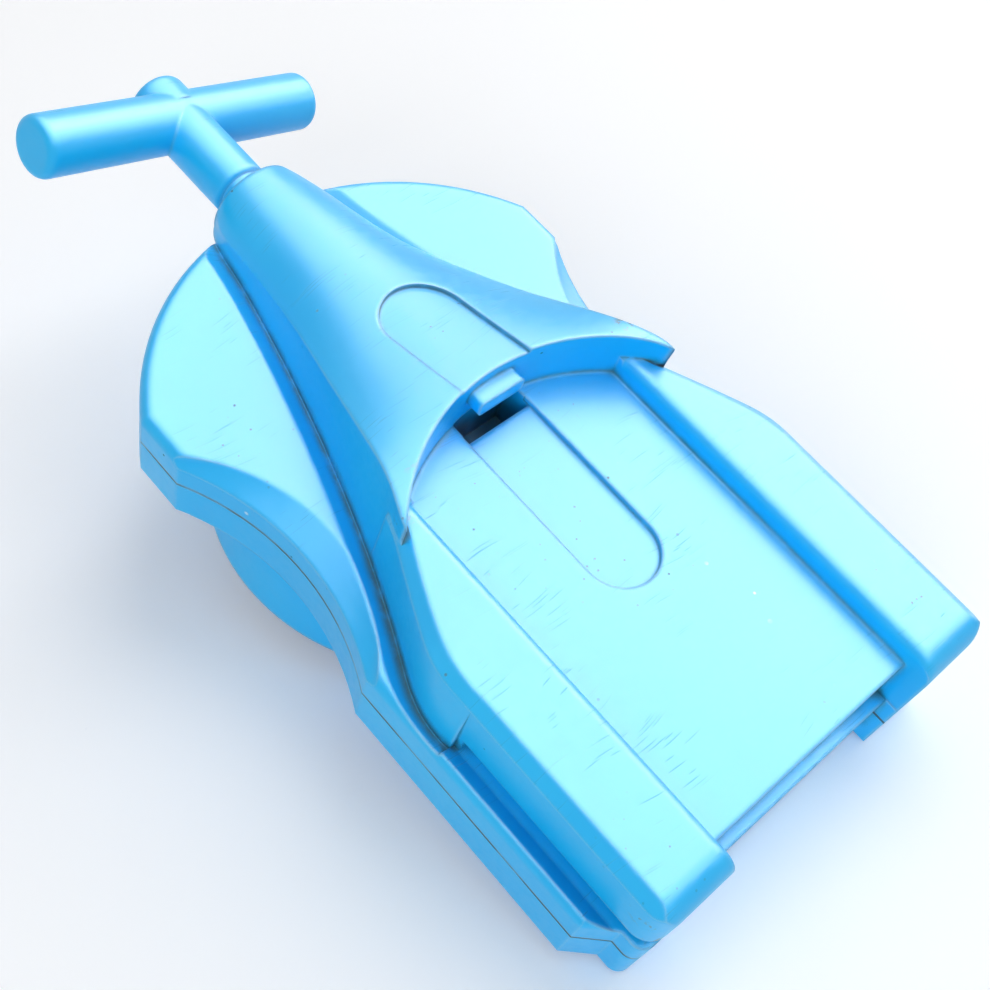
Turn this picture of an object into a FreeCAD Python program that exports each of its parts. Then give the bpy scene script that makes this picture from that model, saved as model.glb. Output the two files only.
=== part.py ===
import FreeCAD, Part
import Sketcher
import math
import os

# Spinning top launcher. The origin is on the axis that the top spins about, at the rim of the
# launch collar. +Y points to the pull handle, -Y to the grip rails, and +Z is up.

DOC = FreeCAD.newDocument("spinning_top_launcher")
SHEET = DOC.addObject("Spreadsheet::Sheet", "Sizes")

SIZES = {
    # Shared clearances
    "overrun": 1.0,
    "running_gap": 0.3,
    "fit_gap": 0.05,
    # Body shell, seen from above
    "collar_depth": 9.0,
    "lower_height": 6.8,
    "upper_height": 5.4,
    "body_radius": 37.6,
    "body_flat_inset": 4.9,
    "tail_inset": 0.6,
    "tail_reach": 67.0,
    "tail_step": 3.3,
    "tail_step_band": 3.4,
    "tail_corner": 1.8,
    "leg_gap_half": 17.8,
    "leg_gap_depth": 2.0,
    "scoop_radius": 35.9,
    "scoop_back": 7.0,
    "slope_radius": 24.4,
    "slope_drop": 1.9,
    "shell_wall": 1.8,
    "shell_floor": 1.6,
    "rim_round": 1.6,
    "foot_round": 0.8,
    "seat_depth": 1.6,
    "seat_roll": 2.7,
    "seat_floor": 1.3,
    "seat_gap": 0.15,
    # Launch collar
    "collar_radius": 29.8,
    "collar_wall": 2.4,
    "collar_ear_radius": 3.2,
    "collar_ear_ring": 24.3,
    "collar_ear_height": 4.0,
    "collar_edge": 0.6,
    # Spine, hood and rails
    "skirt_half_width": 30.0,
    "skirt_reach": 36.2,
    "mouth_reach": 39.05,
    "lip_height": 15.8,
    "lip_radius": 29.5,
    "lip_centre_back": 35.7,
    "lip_wall": 1.9,
    "rail_half_width": 29.2,
    "rail_height": 11.1,
    "rail_edge_width": 1.6,
    "rail_edge_height": 1.4,
    "rail_end_round": 3.4,
    "rail_corner": 3.0,
    "channel_half": 17.8,
    "channel_depth": 3.1,
    "channel_floor": 2.0,
    "channel_end_back": 3.6,
    "recess_half": 5.35,
    "recess_depth": 0.8,
    "recess_centre_back": 31.2,
    "window_half": 5.25,
    "window_back": 9.5,
    "catch_half": 3.7,
    "catch_back": 8.6,
    "catch_height": 2.4,
    "catch_lift": 11.0,
    "catch_round": 0.7,
    "panel_half": 5.6,
    "panel_apex": 11.5,
    "panel_depth": 0.6,
    "neck_radius": 6.56,
    "neck_bore": 5.0,
    "neck_lift": 0.9,
    "neck_length": 12.05,
    # String and its bush
    "string_radius": 0.45,
    "bush_bore": 2.6,
    "bush_length": 3.5,
    "bush_setback": 8.55,
    # Reel
    "reel_radius": 18.0,
    "reel_plate": 0.7,
    "reel_room": 2.9,
    "winding_radius": 15.75,
    "winding_depth": 1.7,
    "reel_core_wall": 0.6,
    "cup_wall": 1.2,
    "reel_guard_gap": 1.0,
    "reel_guard_wall": 1.4,
    "spring_strip": 0.35,
    "spring_pitch": 1.5,
    "arbor_radius": 3.6,
    # Ratchet and pawls
    "ratchet_radius": 16.0,
    "ratchet_wall": 1.6,
    "ratchet_floor": 0.9,
    "tooth_height": 1.5,
    "tooth_depth": 1.7,
    "tooth_count": 12,
    "pawl_height": 1.2,
    "pawl_ring": 8.6,
    "pawl_eye": 1.9,
    "pawl_pin": 1.0,
    "pawl_width": 1.5,
    "pawl_lead": 1.3,
    "pawl_room": 0.95,
    # Launch fork
    "hub_radius": 6.95,
    "hub_key_flat": 5.2,
    "fork_plate_radius": 13.0,
    "fork_plate": 2.6,
    "fork_plate_lift": 3.0,
    "prong_outer": 12.0,
    "prong_wall": 2.2,
    "prong_width": 7.0,
    "prong_drop": 4.0,
    "prong_hook": 2.4,
    "prong_hook_height": 1.8,
    # Axle, screws and washer
    "axle_radius": 2.0,
    "axle_boss_radius": 4.0,
    "axle_boss_height": 3.4,
    "axle_end_lift": 5.9,
    "axle_thread_radius": 1.0,
    "axle_thread_depth": 4.0,
    "washer_radius": 4.0,
    "washer_height": 0.6,
    "screw_radius": 1.25,
    "screw_head_radius": 2.4,
    "screw_head_height": 1.6,
    "screw_slot": 0.7,
    "screw_grip": 4.0,
    "boss_radius": 3.0,
    # Pull handle
    "bar_radius": 4.2,
    "bar_half_length": 23.64,
    "bar_edge": 1.2,
    "bar_clearance": 17.35,
    "boss_length": 5.35,
    "boss_end_radius": 4.4,
    "stem_radius": 4.07,
    "stem_clearance": 2.55,
    "nose_radius": 3.4,
    "nose_round": 0.4,
    "funnel_radius": 2.6,
    "funnel_depth": 2.4,
    "string_hole": 0.8,
    "knot_radius": 1.8,
    "knot_length": 2.8,
    "cap_radius": 2.5,
    "cap_length": 3.0,
    "cap_rim": 0.5,
}

# Angles and counts that are no lengths
HANDLE_TWIST_DEG = 17.5
COLLAR_EAR_DEG = (30.0, 150.0, 270.0)
SPRING_HALF_TURNS = 11

# Spine and hood stations. Each row is a share of the way from the mouth to the skirt's end, the
# foot's half-width and the shoulder's half-width as shares of the skirt's, and the heights of the
# shoulder and the crest above the seat as shares of the lip's.
HOOD_SHARES = (
    (0.0, 0.2187, 0.2050, 0.2000, 0.4720),
    (0.0405, 0.2733, 0.2560, 0.1700, 0.5000),
    (0.0937, 0.2980, 0.2810, 0.2090, 0.5410),
    (0.2000, 0.3520, 0.3200, 0.2880, 0.6140),
    (0.3063, 0.4180, 0.3780, 0.4000, 0.6870),
    (0.4126, 0.4930, 0.4580, 0.5320, 0.7820),
    (0.4924, 0.5550, 0.5210, 0.6520, 0.8670),
    (0.5721, 0.6230, 0.5900, 0.7970, 0.9620),
    (0.6319, 0.6770, 0.6440, 0.8920, 1.0320),
    (0.6850, 0.7280, 0.7000, 0.9300, 1.0700),
    (0.7449, 0.7900, 0.7500, 0.8800, 1.1000),
)
FLANK_DISH_SHARE = 0.04

# The hollow inside the hood runs between these rows.
ROOM_STATIONS = (3, 9)

# Rail flank stations: share of the way from the mouth to the skirt's end, and the half-widths of
# the foot, the crease and the top edge as shares of the skirt's.
FLANK_SHARES = (
    (0.6800, 0.7230, 0.7000, 0.6450),
    (0.7560, 0.8030, 0.7840, 0.7270),
    (0.8080, 0.8620, 0.8500, 0.7930),
    (0.8580, 0.9230, 0.9100, 0.8500),
    (0.9020, 0.9720, 0.9550, 0.8920),
    (0.9470, 1.0000, 0.9733, 0.9180),
    (1.0, 1.0000, 0.9733, 0.9200),
)

# Shares of one size that place or size a neighbour
SCOOP_OFFSET_SHARE = 0.8635
SLOPE_OFFSET_SHARE = 0.6311
LIP_TRIM_SHARE = 0.65
UNDERSIDE_FRONT_SHARE = 0.62
WINDOW_REACH_SHARE = 0.3
WINDOW_TOP_SHARE = 0.05
PAWL_ARM_SHARE = 0.7
SCREW_THREAD_SHARE = 0.9
HEAD_SLOT_SHARE = 1.2
TURN_FLAT_SHARES = (0.25, 0.75)
STRING_LEVEL_SHARE = 0.45
BEND_REACH_SHARE = 0.45

# Where screws stand, as shares of the body's radius, and for the last of a row the tail's reach
CASING_FRONT_SHARES = (0.62, 0.526)
CASING_REAR_SHARES = (0.68, -0.40)
RAIL_SCREW_SHARES = ((0.62, -0.50), (0.62, -0.84))


class Length:
    """A length that knows its value and the spreadsheet expression that gives it."""

    def __init__(self, text, value):
        self.text = text
        self.value = value

    def __add__(self, other):
        return Length(f"({self.text} + {as_length(other).text})", self.value + as_length(other).value)

    def __sub__(self, other):
        return Length(f"({self.text} - {as_length(other).text})", self.value - as_length(other).value)

    def __mul__(self, share):
        return Length(f"({self.text} * {share})", self.value * share)

    def __neg__(self):
        return Length(f"(-1 * {self.text})", -self.value)

    def __float__(self):
        return float(self.value)


def as_length(value):
    return value if isinstance(value, Length) else Length(str(value), float(value))


def leg(long_side, short_side):
    """The other short side of a right triangle."""
    text = f"sqrt({long_side.text} * {long_side.text} - {short_side.text} * {short_side.text})"
    return Length(text, math.sqrt(long_side.value ** 2 - short_side.value ** 2))


def fill_sheet():
    for row, (alias, value) in enumerate(SIZES.items(), start=1):
        SHEET.set(f"A{row}", alias)
        SHEET.set(f"B{row}", str(value))
        SHEET.setAlias(f"B{row}", alias)
    DOC.recompute()
    return {alias: Length(f"Sizes.{alias}", float(SHEET.get(alias))) for alias in SIZES}


S = fill_sheet()
ZERO = Length("0", 0.0)

# Levels above the collar's rim
LOW = S["collar_depth"]
PARTING = LOW + S["lower_height"]
TOP = PARTING + S["upper_height"]
SEAT = TOP - S["seat_depth"]
CEILING = SEAT - S["seat_floor"]
FLOOR = LOW + S["shell_floor"]
RAIL_TOP = SEAT + S["rail_height"]
CHANNEL = RAIL_TOP - S["channel_depth"]
NECK_AXIS = SEAT + S["neck_lift"]
RING_LOW = FLOOR + S["running_gap"]
RING_INNER = RING_LOW + S["ratchet_floor"]
RING_TOP = RING_INNER + S["tooth_height"]
REEL_LOW = RING_TOP + S["running_gap"]
REEL_FLOOR = REEL_LOW + S["reel_plate"]
REEL_LID = REEL_FLOOR + S["reel_room"]
REEL_TOP = REEL_LID + S["reel_plate"]

# Widths and reaches that follow the body and the neck's mouth
BODY_FLAT = S["body_radius"] - S["body_flat_inset"]
TAIL_HALF = BODY_FLAT - S["tail_inset"]
SCOOP_CENTRE = BODY_FLAT + S["scoop_radius"] * SCOOP_OFFSET_SHARE
SLOPE_CENTRE = BODY_FLAT + S["slope_radius"] * SLOPE_OFFSET_SHARE
NECK_INNER = S["mouth_reach"] - S["neck_length"]
BUSH_INNER = S["mouth_reach"] - S["bush_setback"]
STEM_START = S["mouth_reach"] + S["stem_clearance"]
FUNNEL_END = STEM_START + S["funnel_depth"]
BAR_REACH = S["mouth_reach"] + S["bar_clearance"]
BOSS_END = BAR_REACH + S["boss_length"]
KNOT_START = BAR_REACH - S["bar_radius"]
CAP_START = BOSS_END - S["cap_length"]


def bind(thing, prop, length):
    thing.setExpression(prop, as_length(length).text)


def place(thing, x=ZERO, y=ZERO, z=ZERO):
    bind(thing, "Placement.Base.x", x)
    bind(thing, "Placement.Base.y", y)
    bind(thing, "Placement.Base.z", z)
    return thing


def box(name, low, high):
    made = DOC.addObject("Part::Box", name)
    bind(made, "Length", high[0] - low[0])
    bind(made, "Width", high[1] - low[1])
    bind(made, "Height", high[2] - low[2])
    return place(made, *low)


def centred_box(name, half_width, y_low, y_high, z_low, z_high):
    return box(name, (-half_width, y_low, z_low), (half_width, y_high, z_high))


def cylinder(name, radius, height, x=ZERO, y=ZERO, z=ZERO, turn=None):
    made = DOC.addObject("Part::Cylinder", name)
    if turn:
        made.Placement = FreeCAD.Placement(FreeCAD.Vector(), turn)
    bind(made, "Radius", radius)
    bind(made, "Height", height)
    return place(made, x, y, z)


ALONG_X = FreeCAD.Rotation(FreeCAD.Vector(0, 1, 0), 90)
ALONG_Y = FreeCAD.Rotation(FreeCAD.Vector(1, 0, 0), -90)


def joined(name, parts):
    made = DOC.addObject("Part::MultiFuse", name)
    made.Shapes = parts
    return made


def cut(name, base, tools):
    made = DOC.addObject("Part::Cut", name)
    made.Base = base
    made.Tool = tools[0] if len(tools) == 1 else joined(f"{name}_tools", tools)
    return made


def overlap(name, parts):
    made = DOC.addObject("Part::MultiCommon", name)
    made.Shapes = parts
    return made


def solid_feature(name, shape):
    made = DOC.addObject("Part::Feature", name)
    made.Shape = shape
    return made


def origin_plane(body, role):
    return next(item for item in body.Origin.OriginFeatures if item.Role == role)


def arc_of(start, end, radius):
    """An arc of under half a circle, and whether it runs from start to end."""
    chord = math.hypot(end[0] - start[0], end[1] - start[1])
    rise = math.sqrt(max(radius * radius - chord * chord / 4, 0.0)) * (1 if radius > 0 else -1)
    middle = ((start[0] + end[0]) / 2, (start[1] + end[1]) / 2)
    normal = ((start[1] - end[1]) / chord, (end[0] - start[0]) / chord)
    centre = FreeCAD.Vector(middle[0] + normal[0] * rise, middle[1] + normal[1] * rise, 0)
    circle = Part.Circle(centre, FreeCAD.Vector(0, 0, 1), abs(radius))
    first = math.atan2(start[1] - centre.y, start[0] - centre.x)
    last = math.atan2(end[1] - centre.y, end[0] - centre.x)
    return Part.ArcOfCircle(circle, first, last) if radius > 0 else Part.ArcOfCircle(circle, last, first)


def outline_sketch(body, name, role, corners, lift=ZERO):
    """A closed outline whose corners are bound to the sheet. A corner is (x, y), reached by a
    line, or (x, y, radius, side), reached by an arc that turns left for side 1, right for -1."""
    sketch = body.newObject("Sketcher::SketchObject", name)
    sketch.AttachmentSupport = (origin_plane(body, role), [""])
    sketch.MapMode = "FlatFace"
    bind(sketch, "AttachmentOffset.Base.z", lift)
    ends = []
    for index, corner in enumerate(corners):
        before = corners[index - 1]
        start = (float(before[0]), float(before[1]))
        end = (float(corner[0]), float(corner[1]))
        if len(corner) == 2:
            line = Part.LineSegment(FreeCAD.Vector(*start, 0), FreeCAD.Vector(*end, 0))
            number = sketch.addGeometry(line, False)
            ends.append((number, 1, 2))
            continue
        number = sketch.addGeometry(arc_of(start, end, float(corner[2]) * corner[3]), False)
        ends.append((number, 1, 2) if corner[3] > 0 else (number, 2, 1))
        rule = sketch.addConstraint(Sketcher.Constraint("Radius", number, float(corner[2])))
        sketch.setExpression(f"Constraints[{rule}]", corner[2].text)
    for index, (number, _, last) in enumerate(ends):
        following, first, _ = ends[(index + 1) % len(ends)]
        sketch.addConstraint(Sketcher.Constraint("Coincident", number, last, following, first))
        for kind, axis, length in (("DistanceX", -2, corners[index][0]), ("DistanceY", -1, corners[index][1])):
            if length is ZERO:
                sketch.addConstraint(Sketcher.Constraint("PointOnObject", number, last, axis))
                continue
            rule = Sketcher.Constraint(kind, -1, 1, number, last, float(length))
            sketch.setExpression(f"Constraints[{sketch.addConstraint(rule)}]", length.text)
    return sketch


def new_body(name):
    return DOC.addObject("PartDesign::Body", name)


def padded(name, corners, low, high):
    body = new_body(name)
    sketch = outline_sketch(body, f"{name}_outline", "XY_Plane", corners, low)
    pad = body.newObject("PartDesign::Pad", f"{name}_pad")
    pad.Profile = sketch
    bind(pad, "Length", high - low)
    return body


def turned(name, corners, role="XZ_Plane", axis="V_Axis"):
    """A body turned about the axis of its sketch."""
    body = new_body(name)
    sketch = outline_sketch(body, f"{name}_profile", role, corners)
    made = body.newObject("PartDesign::Revolution", f"{name}_turned")
    made.Profile = sketch
    made.ReferenceAxis = (sketch, [axis])
    made.Angle = 360.0
    return body


def tube_profile(inner, outer, low, high):
    return [(inner, low), (outer, low), (outer, high), (inner, high)]


def rounded(body, radius, chosen, kind="Fillet"):
    """Rounds or chamfers the edges of a body that the test chosen picks."""
    DOC.recompute()
    base = body.Tip
    edges = [f"Edge{n}" for n, edge in enumerate(base.Shape.Edges, start=1) if chosen(edge)]
    made = body.newObject(f"PartDesign::{kind}", f"{body.Name}_{kind.lower()}")
    made.Base = (base, edges)
    bind(made, "Radius" if kind == "Fillet" else "Size", radius)
    return body


def rim_at(level):
    """Picks the shell's edges at a height, but not those at the tail's gap."""
    behind = -(float(S["tail_reach"]) - float(S["tail_corner"]))

    def chosen(edge):
        flat = all(abs(vertex.Z - float(level)) < 1e-6 for vertex in edge.Vertexes)
        return flat and max(vertex.Y for vertex in edge.Vertexes) > behind - 1e-6

    return chosen


def mirrored_corners(right_side):
    """The whole outline from its right half, which runs from the front to the tail."""
    left_side = []
    for index in range(len(right_side) - 1, -1, -1):
        corner = right_side[index]
        after = right_side[index + 1] if index + 1 < len(right_side) else None
        shape = tuple(after[2:]) if after and len(after) > 2 else ()
        left_side.append((-corner[0], corner[1]) + shape)
    return right_side + left_side


# Body shell

def casing_outline(inset, with_leg_gap):
    """The shell's outline from above, moved inwards by inset. The front arc closes the loop."""
    radius = S["body_radius"] - inset
    flat = BODY_FLAT - inset
    tail = TAIL_HALF - inset
    scoop = S["scoop_radius"] + inset
    back = S["scoop_back"]
    step = S["tail_step"]
    reach = S["tail_reach"] - inset
    if not with_leg_gap:
        reach = reach - S["leg_gap_depth"]
    corner = S["tail_corner"]
    step_start = reach - S["tail_step_band"] - step
    right = [
        (flat, leg(radius, flat), radius, -1),
        (flat, leg(scoop, SCOOP_CENTRE - flat) - back),
        (tail, -leg(scoop, SCOOP_CENTRE - tail) - back, scoop, 1),
        (tail, -step_start),
        (tail - step, -(step_start + step)),
        (tail - step, -(reach - corner)),
        (tail - step - corner, -reach, corner, -1),
    ]
    if with_leg_gap:
        right.append((S["leg_gap_half"], -reach))
        right.append((S["leg_gap_half"], -(reach - S["leg_gap_depth"])))
    return mirrored_corners(right)


CASING_SCREWS = [
    (S["body_radius"] * (side * share_x), reach * share_y)
    for (share_x, share_y), reach in (
        (CASING_FRONT_SHARES, S["body_radius"]), (CASING_REAR_SHARES, S["tail_reach"]))
    for side in (-1, 1)
]
RAIL_SCREWS = [
    (S["body_radius"] * (side * share_x), S["tail_reach"] * share_y)
    for share_x, share_y in RAIL_SCREW_SHARES
    for side in (-1, 1)
]
COLLAR_SCREWS = [
    (S["collar_ear_ring"] * math.cos(math.radians(turn)), S["collar_ear_ring"] * math.sin(math.radians(turn)))
    for turn in COLLAR_EAR_DEG
]


def posts(name, places, radius, low, high):
    return [cylinder(f"{name}_{n}", radius, high - low, x, y, low) for n, (x, y) in enumerate(places)]


def neck_seat(name, radius):
    start = NECK_INNER - S["overrun"] - S["overrun"]
    return cylinder(name, radius, S["body_radius"] + S["overrun"] - start, ZERO, start, NECK_AXIS, ALONG_Y)


def make_lower_casing():
    shell = padded("lower_shell", casing_outline(ZERO, True), LOW, PARTING)
    rounded(shell, S["foot_round"], rim_at(LOW))
    hollow = padded("lower_hollow", casing_outline(S["shell_wall"], False), FLOOR, PARTING + S["overrun"])
    guard_inner = S["reel_radius"] + S["reel_guard_gap"]
    guard_high = PARTING
    guard = cut("reel_guard", cylinder("guard_outside", guard_inner + S["reel_guard_wall"],
                                       guard_high - FLOOR, z=FLOOR),
                [cylinder("guard_inside", guard_inner, guard_high, z=FLOOR),
                 box("guard_gate", (-guard_inner, ZERO, FLOOR),
                     (guard_inner, S["body_radius"], guard_high + S["overrun"]))])
    bosses = posts("lower_boss", CASING_SCREWS, S["boss_radius"], LOW + S["foot_round"], PARTING)
    bosses += posts("collar_boss", COLLAR_SCREWS, S["boss_radius"], LOW + S["foot_round"], PARTING - S["shell_floor"])
    grip = S["screw_radius"] + S["fit_gap"]
    head = S["screw_head_radius"] + S["running_gap"]
    drilled = posts("lower_bore", CASING_SCREWS, grip, LOW - S["overrun"], PARTING + S["overrun"])
    drilled += posts("lower_sink", CASING_SCREWS, head, LOW - S["overrun"], LOW + S["screw_head_height"])
    drilled += posts("collar_bore", COLLAR_SCREWS, grip, LOW - S["overrun"], LOW + S["screw_grip"])
    drilled.append(cylinder("hub_bearing", S["hub_radius"] + S["fit_gap"], LOW, z=LOW - S["overrun"]))
    drilled.append(neck_seat("lower_neck_seat", S["neck_radius"] + S["fit_gap"]))
    open_shell = cut("lower_open_shell", shell, [hollow])
    whole = joined("lower_whole", [open_shell, guard] + bosses)
    return cut("lower_casing", whole, drilled)


def circle_wire(x, y, z, radius):
    return Part.Wire([Part.makeCircle(radius, FreeCAD.Vector(x, y, z))])


def finger_slope(side):
    """The slope from the scoop's wall up to the top face."""
    back = -float(S["scoop_back"])
    low = circle_wire(side * float(SCOOP_CENTRE), back, float(TOP - S["slope_drop"]), float(S["scoop_radius"]))
    high = circle_wire(side * float(SLOPE_CENTRE), back, float(TOP), float(S["slope_radius"]))
    return Part.makeLoft([low, high], True, True)


def station_y(share):
    whole = float(S["mouth_reach"]) + float(S["skirt_reach"])
    return float(S["mouth_reach"]) - share * whole


def foot_points(extra):
    """The spine's foot from the neck to the skirt's end, right half, extra mm outside it."""
    skirt = float(S["skirt_half_width"])
    rows = [(station_y(row[0]), row[1] * skirt) for row in HOOD_SHARES if row[0] < FLANK_SHARES[0][0]]
    rows += [(station_y(row[0]), row[1] * skirt) for row in FLANK_SHARES]
    return [(width + extra, along) for along, width in rows]


def foot_wire(extra, level, past_end):
    """A closed wire round the spine's foot, skirt and rails at a level."""
    points = [FreeCAD.Vector(x, y, float(level)) for x, y in foot_points(extra)]
    tail = -float(S["tail_reach"]) - past_end
    rail = float(S["rail_half_width"]) + extra
    back = points[-1].y
    curve = Part.BSplineCurve()
    curve.interpolate(points)
    mirror = [FreeCAD.Vector(-point.x, point.y, point.z) for point in reversed(points)]
    other = Part.BSplineCurve()
    other.interpolate(mirror)
    skirt_x = points[-1].x
    tail_points = [
        points[-1],
        FreeCAD.Vector(skirt_x, back, float(level)),
        FreeCAD.Vector(rail, back, float(level)),
        FreeCAD.Vector(rail, tail, float(level)),
        FreeCAD.Vector(-rail, tail, float(level)),
        FreeCAD.Vector(-rail, back, float(level)),
        mirror[0],
    ]
    edges = [curve.toShape()]
    for first, last in zip(tail_points, tail_points[1:]):
        if (last - first).Length > 1e-6:
            edges.append(Part.makeLine(first, last))
    edges.append(other.toShape())
    edges.append(Part.makeLine(mirror[-1], points[0]))
    return Part.Wire(edges)


def make_upper_casing():
    shell = padded("upper_shell", casing_outline(ZERO, True), PARTING, TOP)
    rounded(shell, S["rim_round"], rim_at(TOP))
    gap = float(S["seat_gap"])
    roll = float(S["seat_roll"])
    beyond = float(S["overrun"])
    wires = [foot_wire(gap, SEAT, beyond), foot_wire(gap + roll, TOP + S["fit_gap"], beyond)]
    seat = Part.makeLoft(wires, True, True)
    hollow = padded("upper_hollow", casing_outline(S["shell_wall"], False), PARTING - S["overrun"], CEILING)
    grip = S["screw_radius"] + S["fit_gap"]
    solid_posts = posts("upper_boss", CASING_SCREWS, S["boss_radius"], PARTING, CEILING)
    hollowed = cut("upper_hollowed", shell, [cut("upper_room", hollow, solid_posts)])
    seated = cut("upper_seated", hollowed, [solid_feature("spine_seat", seat)])
    necked = cut("upper_necked", seated, [neck_seat("upper_neck_seat", S["neck_radius"] + S["fit_gap"])])
    bores = posts("upper_bore", CASING_SCREWS, grip, PARTING - S["overrun"], PARTING + S["screw_grip"])
    bored = cut("upper_bored", necked, bores + posts("rail_bore", RAIL_SCREWS, grip, PARTING, TOP))
    left = cut("upper_left_dished", bored, [solid_feature("left_finger_slope", finger_slope(-1))])
    dished = cut("upper_dished", left, [solid_feature("right_finger_slope", finger_slope(1))])
    boss_top = SEAT + S["axle_boss_height"]
    boss = cylinder("axle_boss", S["axle_boss_radius"], boss_top - CEILING, z=CEILING)
    bossed = joined("upper_bossed", [dished, boss])
    bore = cylinder("axle_bore", S["axle_radius"] + S["fit_gap"], boss_top - S["shell_floor"] - PARTING, z=PARTING)
    return cut("upper_casing", bossed, [bore])


def make_launch_collar():
    edge = S["collar_edge"]
    outer = S["collar_radius"]
    inner = outer - S["collar_wall"]
    ring = turned("collar_ring", [(inner, edge), (inner + edge, ZERO), (outer, ZERO), (outer, LOW), (inner, LOW)])
    ears = posts("collar_ear", COLLAR_SCREWS, S["collar_ear_radius"], LOW - S["collar_ear_height"], LOW)
    bores = posts("collar_ear_bore", COLLAR_SCREWS, S["screw_radius"] + S["fit_gap"], ZERO, LOW + S["overrun"])
    return cut("launch_collar", joined("collar_whole", [ring] + ears), bores)


# Spine, hood and rails

def bell_section(along, foot, shoulder, shoulder_height, crest_height, base):
    """One section across the spine: a flat foot, two dished flanks and a rounded crest."""
    right_foot = FreeCAD.Vector(foot, along, base)
    left_foot = FreeCAD.Vector(-foot, along, base)
    right_shoulder = FreeCAD.Vector(shoulder, along, base + shoulder_height)
    left_shoulder = FreeCAD.Vector(-shoulder, along, base + shoulder_height)
    crest = FreeCAD.Vector(0, along, base + crest_height)
    flank = right_shoulder - right_foot
    dish = FreeCAD.Vector(-flank.z, 0, flank.x)
    middle = (right_foot + right_shoulder) / 2
    bend = middle + dish * -FLANK_DISH_SHARE if dish.x > 0 else middle + dish * FLANK_DISH_SHARE
    mirror_bend = FreeCAD.Vector(-bend.x, bend.y, bend.z)
    return Part.Wire([
        Part.makeLine(left_foot, right_foot),
        Part.Arc(right_foot, bend, right_shoulder).toShape(),
        Part.Arc(right_shoulder, crest, left_shoulder).toShape(),
        Part.Arc(left_shoulder, mirror_bend, left_foot).toShape(),
    ])


def spine_loft(inset, base, first, last):
    """The spine and hood, or with an inset the hollow inside it, between two stations."""
    skirt = float(S["skirt_half_width"])
    lip = float(S["lip_height"])
    wires = []
    for share, foot, shoulder, shoulder_height, crest in HOOD_SHARES[first:last]:
        wires.append(bell_section(station_y(share), foot * skirt - inset, shoulder * skirt - inset,
                                  shoulder_height * lip - inset / 2, crest * lip - inset, base))
    return Part.makeLoft(wires, True, False)


def flank_section(share, foot, crease, edge):
    skirt = float(S["skirt_half_width"])
    along = station_y(share)
    crease_level = float(RAIL_TOP) - float(S["rail_edge_height"])
    right = [(foot * skirt, float(SEAT)), (crease * skirt, crease_level), (edge * skirt, float(RAIL_TOP))]
    points = [FreeCAD.Vector(x, along, z) for x, z in right]
    points += [FreeCAD.Vector(-x, along, z) for x, z in reversed(right)]
    return Part.makePolygon(points + points[:1])


def flank_loft():
    """The skirt, from the hood's shoulder to the notch before the rails."""
    return Part.makeLoft([flank_section(*row) for row in FLANK_SHARES], True, False)


def padded_back(name, corners, start, end):
    """A section drawn across the launcher and drawn out from start to end behind the origin."""
    body = new_body(name)
    sketch = outline_sketch(body, f"{name}_section", "XZ_Plane", corners, start)
    pad = body.newObject("PartDesign::Pad", f"{name}_pad")
    pad.Profile = sketch
    bind(pad, "Length", end - start)
    return body


def rail_block():
    """Both rails and the channel's block, with rounded corners and ends rounded over."""
    rail = S["rail_half_width"]
    high = RAIL_TOP
    crease = high - S["rail_edge_height"]
    top = rail - S["rail_edge_width"]
    start = S["skirt_reach"] - S["overrun"]
    end = S["tail_reach"]
    corner = S["rail_corner"]
    section = padded_back("rail_bar", [
        (rail, SEAT), (rail, crease), (top, high), (-top, high), (-rail, crease), (-rail, SEAT)], start, end)
    plan = padded("rail_plan", [
        (rail, -start), (-rail, -start), (-rail, -(end - corner)), (-(rail - corner), -end, corner, 1),
        (rail - corner, -end), (rail, -(end - corner), corner, 1)], SEAT, high)
    turn_y = -(end - S["rail_end_round"])
    turn_z = high - S["rail_end_round"]
    beyond = S["overrun"]
    barrel = cylinder("rail_end_barrel", S["rail_end_round"], rail + rail, -rail, turn_y, turn_z, ALONG_X)
    ends = cut("rail_end_space", centred_box("rail_end_corner", rail, -(end + beyond), turn_y, turn_z, high + beyond),
               [barrel])
    return cut("rail_body", overlap("rail_form", [section, plan]), [ends])


def hood_panel(hood):
    """The shallow sunken panel on the crest, round at the front and open at the lip."""
    centre = S["panel_apex"] - S["panel_half"]
    high = S["lip_height"] + S["lip_height"]
    prism = joined("panel_prism", [
        cylinder("panel_front", S["panel_half"], high, ZERO, centre, SEAT),
        centred_box("panel_run", S["panel_half"], -S["lip_centre_back"], centre, SEAT, SEAT + high)])
    lowered = solid_feature("hood_lowered", hood.Shape)
    lowered.Placement = FreeCAD.Placement(FreeCAD.Vector(0, 0, -float(S["panel_depth"])), FreeCAD.Rotation())
    return cut("hood_panel", overlap("panel_layer", [prism, hood]), [lowered])


def lip_barrel(name, radius, low):
    """An upright barrel about the centre of the lip's round front."""
    return cylinder(name, radius, S["lip_height"] + S["lip_height"], ZERO, -S["lip_centre_back"], low)


def channel_space():
    """The open channel between the rails, round at the lip."""
    reach = S["tail_reach"]
    past_end = -reach - S["overrun"]
    high = CHANNEL + S["lip_height"]
    straight = centred_box("channel_back", S["channel_half"], past_end, -S["lip_centre_back"], CHANNEL, high)
    front = overlap("channel_front", [
        lip_barrel("channel_barrel", S["lip_radius"], CHANNEL),
        centred_box("channel_box", S["channel_half"], -S["lip_centre_back"], ZERO, CHANNEL, high)])
    end_gap = centred_box("channel_end", S["channel_half"], past_end, -(reach - S["channel_end_back"]),
                          SEAT - S["overrun"], high)
    return [straight, front, end_gap]


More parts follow.
